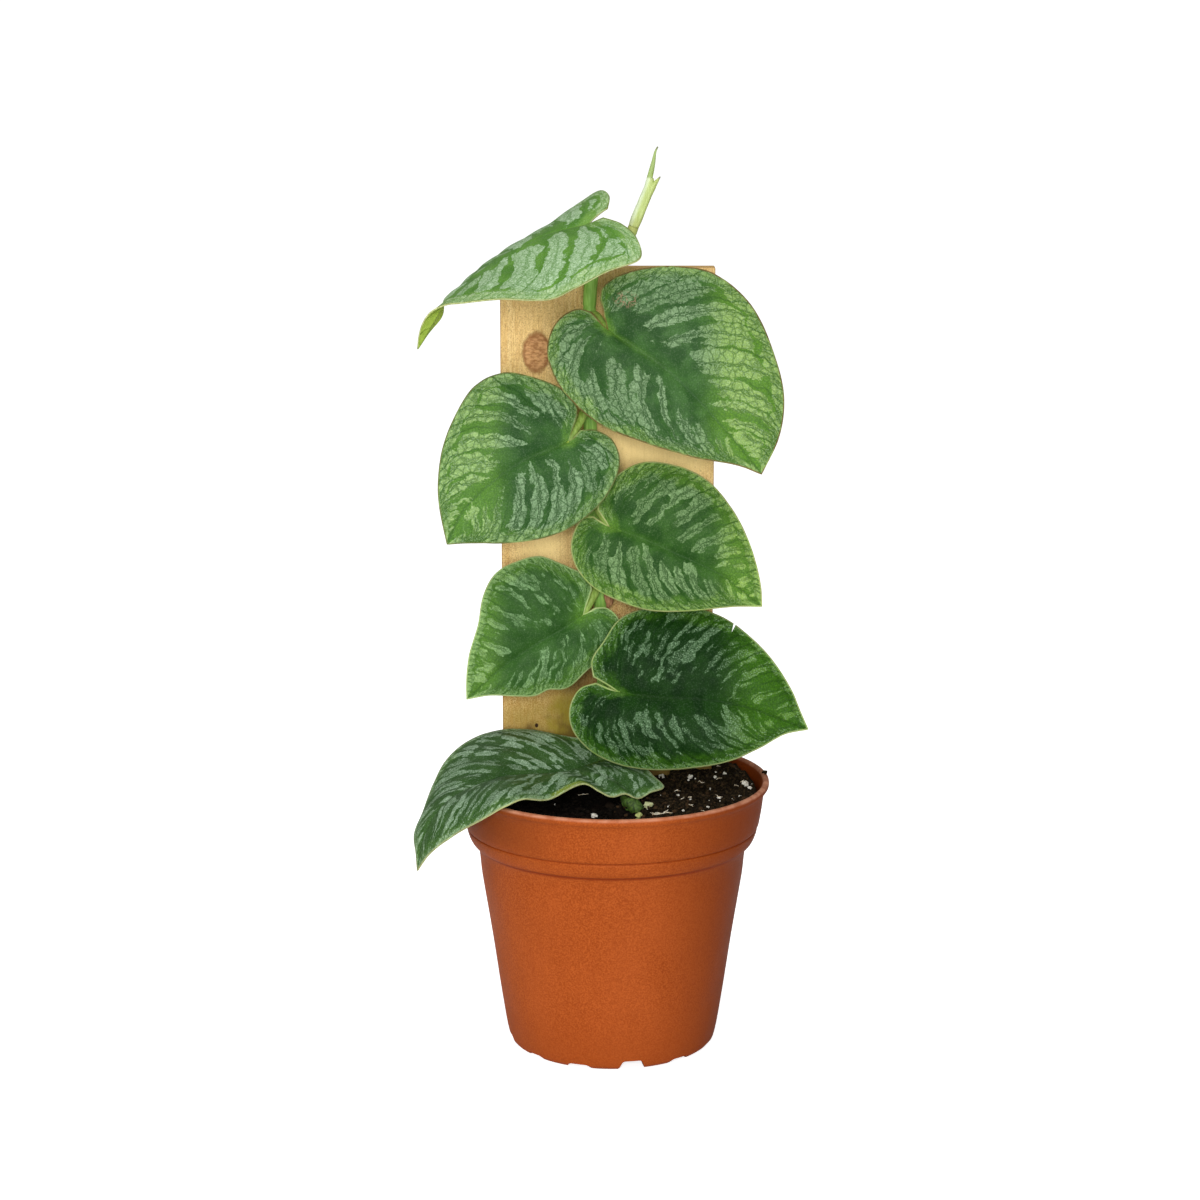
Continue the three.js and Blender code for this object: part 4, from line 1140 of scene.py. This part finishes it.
        "right_veins": [
            (0, 0.1), (0, 0.21), (0.01, 0.3), (0.04, 0.44), (0.11, 0.53), (0.21, 0.64), (0.37, 0.77),
            (0.55, 0.88),
        ],
    },
    {
        "look": {
            "deep": tint(38, 70, 26), "green": tint(56, 88, 40), "edge": tint(86, 124, 50),
            "silver": tint(134, 166, 128), "sheen": tint(196, 222, 194), "yellow_pale": tint(178, 208, 150),
            "margin": tint(146, 150, 106), "flap": tint(124, 140, 44), "band": 0.4, "start": 1.5,
            "rim": 1.0, "ripe": 0.3, "past_plank": (-60, -75), "arches": 2.0, "bare": 0.9, "breaks": 0.17,
            "faintest": 0.4, "fray": 1.6, "full": 4, "gaps": 1.3, "lines": 0.3, "ribbed": 0.05,
            "rim_gaps": 0.6, "yellow_strength": 0.68, "rise": 2, "small": 1, "soft": 0.4, "streaks": 3,
            "strength": 0.68, "torn": 3.4, "veins": 2.6, "wander": 3.0,
        },
        "arch": 0.07,
        "stalk": [
            (7, -27, 72), (6, -25, 84), (4, -16, 91.5), (0.5, 0, 96.6), (-2.6, 6.4, 97.5), (-9, 1.6, 97),
        ],
        "stub": [(9.5, -27, 88), (7.6, -25, 90.6), (5.6, -24, 91.6), (3.6, -23, 90.8)],
        "midrib": [
            (-2, 8, 98.2), (-19, -6, 97.2), (-38.5, -15, 98), (-56, -22, 91.5), (-63.5, -25.5, 80.5),
            (-66, -30, 69.5),
        ],
        "left": [
            (3.5, 5, 98), (11, 2, 97), (14.4, -3.5, 95.2), (17.8, -9.5, 93), (13.2, -14.5, 92.6),
            (8.6, -18.5, 91.4), (4.5, -19.5, 93.4), (0, -20.5, 92.6), (-4.5, -22.5, 95.2),
            (-9.5, -25, 98.5), (-21.5, -34, 95.5), (-30, -41, 97.5), (-35.5, -44, 96), (-43.5, -41, 90.5),
            (-52.5, -36, 84), (-61.5, -32, 76),
        ],
        "right": [
            (0, 11, 101.5), (-3, 13, 104), (-8.5, 14, 104), (-17.5, 17, 104.5), (-28, 19, 106),
            (-39, 19, 106), (-49.5, 15, 103.5), (-57.5, 7, 98.5), (-62, -2, 91.5), (-65, -11, 84.5),
            (-67.5, -19, 79), (-66.5, -26, 74),
        ],
        "left_veins": [
            (0.04, 0.18), (0.05, 0.31), (0.09, 0.44), (0.16, 0.54), (0.28, 0.67), (0.4, 0.79),
            (0.52, 0.88), (0.66, 0.96),
        ],
        "right_veins": [
            (0.08, 0.16), (0.13, 0.36), (0.23, 0.5), (0.36, 0.62), (0.48, 0.72), (0.58, 0.79),
            (0.72, 0.89),
        ],
    },
]

UNDERSIDE = underside_finish("leaf_underside", tint(132, 160, 52), tint(160, 184, 76))
# the blade's cut rim, pale green: partly its own colour, partly a painted highlight along the edge
MARGIN = stem_finish("leaf_margin", tint(164, 172, 104), tint(196, 204, 146), tint(150, 128, 84))
STALK_SKIN = stem_finish("stalk_skin", tint(116, 146, 56), tint(148, 176, 86), tint(132, 138, 70), streak=4)
# painted shade: a dark copy of the stalk skin, for the stalk under the lowest leaf
SHADED_STALK_SKIN = stem_finish(
    "shaded_stalk_skin", tint(28, 48, 14), tint(74, 102, 38), tint(84, 88, 36), streak=1.5
)


# Stem and shoot

def climbing_stem():
    """The stem, swollen at each leaf's joint, with a groove over it and rootlets that grip the plank."""
    course = Course(STEM_PATH)
    joints = [leaf["stalk"][0][2] for leaf in LEAVES[1:-1]]

    def thickness(share):
        height = course.at(share)[2]
        change = sum(
            JOINT_SWELLING * math.exp(-(((height - joint) / 1.4) ** 2))
            - JOINT_GROOVE * math.exp(-(((height - joint - 3.2) / 0.45) ** 2))
            for joint in joints
        )
        taper = np.interp(share, [0, 0.93, 1], [STEM_RADIUS, STEM_RADIUS, STEM_END_RADIUS])
        return float(taper * (1 + change))

    bm = bmesh.new()
    sweep(bm, course, thickness, 260, 20)
    on_board = BOARD_FRONT - CLEARANCE - ROOTLET_RADIUS
    for height, side in ROOTLETS:
        x = next(point[0] for point in STEM_PATH if point[2] > height)
        path = [
            (x, STEM_DEPTH, height), (x + 3 * side, on_board - 0.5, height - 1),
            (x + 5 * side, on_board, height - 3), (x + 7.5 * side, on_board, height - 3.6),
        ]
        sweep(bm, Course(path), spread(ROOTLET_RADII), 24, 8)
    skin = stem_finish(
        "stem_skin", tint(116, 164, 64), tint(154, 198, 96), tint(124, 136, 66), young=YOUNG_HEIGHT
    )
    finished("climbing_stem", bm, "stem", "stem", skin)


def withered_sheath():
    """The papery brown scale at the fifth leaf's node."""
    bm = bmesh.new()
    sweep(bm, Course(SCALE_PATH), spread(SCALE_RADII), 18, 12, flat=3.2)
    made = Finish("withered_scale", roughness=0.75, specular=0.3)
    lines = made.noise(0.7, 3, stretch=(1, 1, 5))
    made.ground(lines.ramp(0.3, 0.7), tint(122, 82, 52), tint(172, 128, 88))
    finished("withered_sheath", bm, "stem", "stem", made.done(lines, 0.15))


def rolled_finish():
    """Pale green with fine lines, lighter on its left, greener on its right, and greyer at the tips."""
    made = Finish("rolled_leaf", roughness=0.5, specular=0.15)
    lines = made.noise(0.6, 3, stretch=(1, 1, 14))
    height = made.z + (made.noise(2, 2) - 0.5) * 2
    foot_x, foot_z = SHOOT_FOOT
    sideways = made.x - ((made.z - foot_z) * SHOOT_LEAN + foot_x)
    made.ground(lines.ramp(0.3, 0.7), tint(168, 184, 108), tint(186, 200, 132))
    made.coat(tint(214, 226, 194), sideways.ramp(-0.2, -1.6, 0, 0.8))
    made.coat(tint(156, 170, 88), sideways.ramp(0.8, 1.8, 0, 0.6))
    made.coat(tint(138, 162, 82), height.ramp(298.6, 299.8, 0, 0.85))
    made.coat(tint(110, 110, 84), height.ramp(307.5, 309, 0, 0.8))
    made.coat(tint(120, 124, 92), made.x.ramp(15.3, 16.2) * made.z.ramp(301, 299.8))
    made.coat(tint(156, 160, 88), height.ramp(288, 281, 0, 0.6))
    return made.done(lines, 0.05)


def new_leaf():
    """The rolled new leaf: the sheath round it with a seam and a pointed tip, and its green spear."""
    bm = bmesh.new()
    sweep(bm, Course(SHOOT_PATH), spread(SHOOT_RADII), 70, 24)
    sweep(bm, Course(SPEAR_PATH), spread(SPEAR_RADII), 50, 16)
    seam = [Vector(point) + Vector(SEAM_SIDE) for point in SHOOT_PATH[:4]]
    sweep(bm, Course(seam), spread(SEAM_RADII), 50, 10)
    sweep(bm, Course(SHEATH_TIP), spread(SHEATH_TIP_RADII), 30, 14, flat=0.9)
    finished("rolled_new_leaf", bm, "new_shoot", "shoot", rolled_finish())


# Pot, plank and soil

def foot_cuts():
    """Flared blocks with rounded edges, to cut the openings in the pot's foot."""
    cuts = bmesh.new()
    for i in range(NOTCHES):
        height = NOTCH_HEIGHTS[i % len(NOTCH_HEIGHTS)]
        block = bmesh.ops.create_cube(cuts, size=1)["verts"]
        bmesh.ops.scale(cuts, vec=(NOTCH_LENGTH, NOTCH_WIDTH, 2 * height), verts=block)
        bmesh.ops.translate(cuts, vec=(NOTCH_RADIUS, 0, 0), verts=block)
        for vert in block:
            vert.co.y *= 1 - math.copysign(NOTCH_FLARE, vert.co.z)
        edges = [edge for edge in edges_among(block) if abs(edge.verts[0].co.x - edge.verts[1].co.x) > 1]
        made = bmesh.ops.bevel(
            cuts, geom=edges, offset=NOTCH_ROUNDING, affect="EDGES", segments=3, profile=0.5, material=-1
        )
        whole = {vert for vert in block if vert.is_valid} | set(made["verts"])
        turn = Matrix.Rotation(NOTCH_TURN + FULL_TURN * i / NOTCHES, 4, "Z")
        bmesh.ops.transform(cuts, matrix=turn, verts=list(whole))
    return cuts


def nursery_pot():
    """The turned pot, with the openings in its foot and the holes in its floor cut out."""
    outline = [(radius, 0, height) for radius, height in [*POT_UNDERSIDE, *POT_OUTSIDE, *POT_INSIDE]]
    smooth = Course(outline, fine=4).samples
    bm = spun([(max(radius, 0), max(height, 0)) for radius, _, height in smooth], POT_STEPS)
    cuts = foot_cuts()
    holes = [(0, 0, CENTRE_HOLE_RADIUS)]
    for i in range(DRAIN_HOLES):
        angle = FULL_TURN * i / DRAIN_HOLES
        holes.append((DRAIN_RING * math.cos(angle), DRAIN_RING * math.sin(angle), DRAIN_RADIUS))
    for x, y, radius in holes:
        bmesh.ops.create_cone(
            cuts, cap_ends=True, segments=32, radius1=radius, radius2=radius, depth=20,
            matrix=Matrix.Translation((x, y, 0)),
        )
    finished("nursery_pot", carved(bm, cuts), "pot", "pot_plastic", plastic_finish(), sharp_angle=38)


def plank_shape(grow=0.0):
    """The plank as a plain block, or a block that is larger by grow, to cut its hole in the soil."""
    bm = bmesh.new()
    corners = [
        bm.verts.new((
            x + math.copysign(grow, x - BOARD_MIDDLE),
            BOARD_FRONT - grow,
            z - (grow if z == BOARD_POINT else 0),
        ))
        for x, z in BOARD_OUTLINE
    ]
    sawn = bmesh.ops.extrude_face_region(bm, geom=[bm.faces.new(corners)])
    bmesh.ops.translate(bm, vec=(0, BOARD_THICKNESS + 2 * grow, 0), verts=new_verts(sawn))
    bmesh.ops.recalc_face_normals(bm, faces=bm.faces)
    return bm


def plank():
    """The plank with rounded edges, cut into a grid and a little warped."""
    bm = plank_shape()
    bmesh.ops.bevel(
        bm, geom=bm.edges[:], offset=BOARD_ROUNDING, affect="EDGES", segments=3, profile=0.5, material=-1
    )
    cuts = [((0, 0, height), (0, 0, 1)) for height in range(92, BOARD_TOP, 4)]
    cuts += [((across, 0, 0), (1, 0, 0)) for across in range(-34, 35, 4)]
    for place, way in cuts:
        whole = bm.verts[:] + bm.edges[:] + bm.faces[:]
        bmesh.ops.bisect_plane(bm, geom=whole, plane_co=place, plane_no=way)
    for vert in bm.verts:
        vert.co.y += BOARD_WARP * noise.noise(Vector((vert.co.x * 0.1, 0, vert.co.z * 0.02)))
    finished("plank", bm, "board", "board_wood", pine_finish(), sharp_angle=40)


def soil_rise(x, y):
    """How far the soil's top lies over its level: low lumps, and a heap behind on the right."""
    swell = 0.9 * math.sin(0.11 * x + 1) * math.cos(0.09 * y)
    lumps = 0.5 * math.sin(0.33 * x + 0.27 * y) + 0.4 * math.sin(0.41 * x - 0.52 * y + 2)
    heap = 2.6 / (1 + math.exp(-(0.8 * x + 0.6 * y - 36) / 3))
    return swell + lumps + heap


def on_soil(x, y, over):
    return Vector((x, y, SOIL_LEVEL + soil_rise(x, y) + over))


def soil_bed(peat):
    """The body of peat, turned to fit the pot, with a rough top and holes for plank, stem and stalk."""
    wall = [
        (radius - 1.2 * CLEARANCE, height + CLEARANCE)
        for radius, height in reversed(POT_INSIDE)
        if radius > 0 and height < SOIL_LEVEL - 2
    ]
    rings = int((SOIL_RADIUS - 1) / SOIL_RING)
    top = [(SOIL_RADIUS - 1 - i * SOIL_RING, SOIL_LEVEL) for i in range(rings)]
    outline = [(0, 5 + CLEARANCE), *wall, (SOIL_RADIUS, SOIL_LEVEL - 0.8), *top, (0, SOIL_LEVEL)]
    bm = spun(outline, SOIL_STEPS)
    for vert in bm.verts:
        if vert.co.z >= SOIL_LEVEL - 0.01:
            rough = 0.9 * noise.noise(vert.co * 0.45) + 0.5 * noise.noise(vert.co * 1.1)
            vert.co.z += soil_rise(vert.co.x, vert.co.y) + rough
    bm = carved(bm, plank_shape(CLEARANCE))
    stem_hole = [STEM_HOLE_START, *STEM_PATH[1:3]]
    stalk_hole = [STALK_HOLE_START, *LEAVES[-1]["stalk"][1:]]
    for path, radii in ((stem_hole, [STEM_RADIUS]), (stalk_hole, STALK_RADII)):
        hole = bmesh.new()
        sweep(hole, Course(path), spread([radius + CLEARANCE for radius in radii]), 40, 16)
        bm = carved(bm, hole)
    bm.verts.layers.float.new("tone")
    finished("soil_bed", bm, "soil", "soil", peat)


def free_soil(chance):
    """A place on the soil that is clear of the plank and the stem."""
    while True:
        radius = SOIL_REACH * math.sqrt(chance.random())
        angle = chance.uniform(0, FULL_TURN)
        x, y = radius * math.cos(angle), radius * math.sin(angle)
        by_plank = -PLANK_ROOM < y - BOARD_FRONT < BOARD_THICKNESS + PLANK_ROOM and -40 < x < 37
        if not by_plank and math.hypot(x + 2.4, y - STEM_DEPTH) > STEM_ROOM:
            return x, y


def grain(bm, chance, place, size, tone, detail=1, flat=0.7):
    """A small broken lump, turned and dented at random."""
    tones = bm.verts.layers.float["tone"]
    lump = bmesh.ops.create_icosphere(bm, subdivisions=detail, radius=size)["verts"]
    shift = Vector((chance.uniform(0, 90), chance.uniform(0, 90), 0))
    for vert in lump:
        vert.co *= 1 + 0.55 * noise.noise(vert.co / size * 1.3 + shift)
        vert[tones] = tone
    turn = Matrix.Rotation(chance.uniform(0, 6.3), 4, "Z")
    tilt = Matrix.Rotation(chance.uniform(-0.6, 0.6), 4, "X")
    stretch = Matrix.Diagonal((chance.uniform(0.8, 1.5), 1, flat, 1))
    bmesh.ops.transform(bm, matrix=Matrix.Translation(place) @ turn @ tilt @ stretch, verts=lump)


def grains():
    """An empty shape for grains, each with its own tone."""
    bm = bmesh.new()
    bm.verts.layers.float.new("tone")
    return bm


def soil_crumbs(chance, peat):
    """Fine crumbs, larger chips of bark, and the crumbs on the pot's lip."""
    bm = grains()
    for _ in range(PEAT_CRUMBS):
        x, y = free_soil(chance)
        size = chance.choice(CRUMB_SIZES)
        tone = chance.choice(CRUMB_TONES) * (1.3 if x > 0 else 0.4)
        grain(bm, chance, on_soil(x, y, chance.uniform(0.1, 0.7)), size, tone)
    for _ in range(BARK_CHIPS):
        place = on_soil(*free_soil(chance), 0.5)
        grain(bm, chance, place, chance.uniform(1.4, 2.2), chance.uniform(0.1, 0.5), 2, 0.35)
    for x, y, size in LIP_CRUMBS:
        grain(bm, chance, Vector((x, y, LIP_HEIGHT + 0.2)), size, 0.1)
    finished("soil_crumbs", bm, "soil", "soil", peat)


def perlite_grains(chance):
    """The white grains that the photo shows, and dust of them, most of it on the right."""
    bm = grains()
    for x, y, size, green in PERLITE:
        grain(bm, chance, on_soil(x, y, 0.4), size, green, 3, 0.85)
    for _ in range(PERLITE_DUST):
        x, y = free_soil(chance)
        if x >= 8 or chance.random() >= 0.8:
            grain(bm, chance, on_soil(x, y, 0.6), chance.uniform(0.12, 0.4), 0, 2, 0.8)
    finished("perlite_grains", bm, "soil", "soil", perlite_finish())


def fibre(bm, chance, x, y, turn, length, radius):
    """A pale strand that lies on the soil, a little bent."""
    way = Vector((math.cos(math.radians(turn)), math.sin(math.radians(turn)), 0))
    path = []
    for i in range(5):
        place = Vector((x, y, 0)) + way * length * (i / 4 - 0.5)
        place += Vector((chance.uniform(-0.5, 0.5), chance.uniform(-0.5, 0.5), 0))
        path.append(on_soil(place.x, place.y, 1.1 + chance.uniform(0, 0.5)))
    sweep(bm, Course(path), spread([radius * 0.5, radius, radius, radius * 0.4]), 12, 6)


def soil_fibres(chance):
    bm = bmesh.new()
    for known in FIBRES:
        fibre(bm, chance, *known)
    for _ in range(LOOSE_FIBRES):
        x, y = free_soil(chance)
        fibre(bm, chance, x, y, chance.uniform(0, 180), chance.uniform(1.5, 3.5), 0.1)
    finished("soil_fibres", bm, "soil", "soil", fibre_finish())


def soil():
    chance = random.Random(5)
    peat = peat_finish()
    soil_bed(peat)
    soil_crumbs(chance, peat)
    perlite_grains(chance)
    soil_fibres(chance)


nursery_pot()
soil()
plank()
climbing_stem()
withered_sheath()
for number, leaf in enumerate(LEAVES, 1):
    leaf_pieces(number, leaf)
new_leaf()


# Floor, light and camera

def emitter(name, place, width, watts):
    light = bpy.data.lights.new(name, "AREA")
    light.shape = "DISK"
    light.size = width
    light.energy = watts
    lamp = bpy.data.objects.new(name, light)
    lamp.location = place
    lamp.rotation_euler = (Vector(LIGHTS_AIM) - Vector(place)).to_track_quat("-Z", "Y").to_euler()
    bpy.context.scene.collection.objects.link(lamp)


def seen(tree, socket, directly, otherwise):
    """Gives the white surroundings one brightness as a backdrop, and another as a light."""
    path = tree.nodes.new("ShaderNodeLightPath")
    choice = tree.nodes.new("ShaderNodeMapRange")
    tree.links.new(path.outputs["Is Camera Ray"], choice.inputs["Value"])
    choice.inputs["To Min"].default_value = otherwise
    choice.inputs["To Max"].default_value = directly
    tree.links.new(choice.outputs["Result"], socket)


def studio():
    bm = bmesh.new()
    bmesh.ops.create_grid(bm, x_segments=2, y_segments=2, size=FLOOR_SIZE)
    mesh = bpy.data.meshes.new("pale_floor")
    bm.to_mesh(mesh)
    bm.free()
    floor = bpy.data.objects.new("pale_floor", mesh)
    paint = bpy.data.materials.new("pale_floor")
    paint.use_nodes = True
    shader = paint.node_tree.nodes["Principled BSDF"]
    shader.inputs["Base Color"].default_value = (0.9, 0.9, 0.9, 1)
    shader.inputs["Roughness"].default_value = 0.9
    shader.inputs["Specular IOR Level"].default_value = 0.0
    shader.inputs["Emission Color"].default_value = (1, 1, 1, 1)
    seen(paint.node_tree, shader.inputs["Emission Strength"], FLOOR_GLOW, 0)
    mesh.materials.append(paint)
    bpy.context.scene.collection.objects.link(floor)
    floor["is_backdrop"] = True

    world = bpy.data.worlds.new("soft_white_room")
    world.use_nodes = True
    background = world.node_tree.nodes["Background"]
    background.inputs["Color"].default_value = (1, 1, 1, 1)
    seen(world.node_tree, background.inputs["Strength"], ROOM_GLOW, ROOM_LIGHT)
    bpy.context.scene.world = world
    bpy.context.scene.view_settings.view_transform = "Standard"
    for light in LIGHTS:
        emitter(*light)


def viewpoint():
    lens = bpy.data.cameras.new("camera")
    lens.sensor_width = SENSOR_WIDTH
    lens.lens = FOCAL_PIXELS / PHOTO_WIDTH * SENSOR_WIDTH
    lens.clip_start = 0.05
    camera = bpy.data.objects.new("camera", lens)
    camera.location = Vector(CAMERA_PLACE) * MM
    camera.rotation_euler = (math.radians(90 - CAMERA_PITCH), 0, 0)
    bpy.context.scene.collection.objects.link(camera)
    bpy.context.scene.camera = camera


studio()
viewpoint()

boxes = {"cad": cad_box, "visual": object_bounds()}
{name: [list(corner) for corner in box] for name, box in boxes.items()}
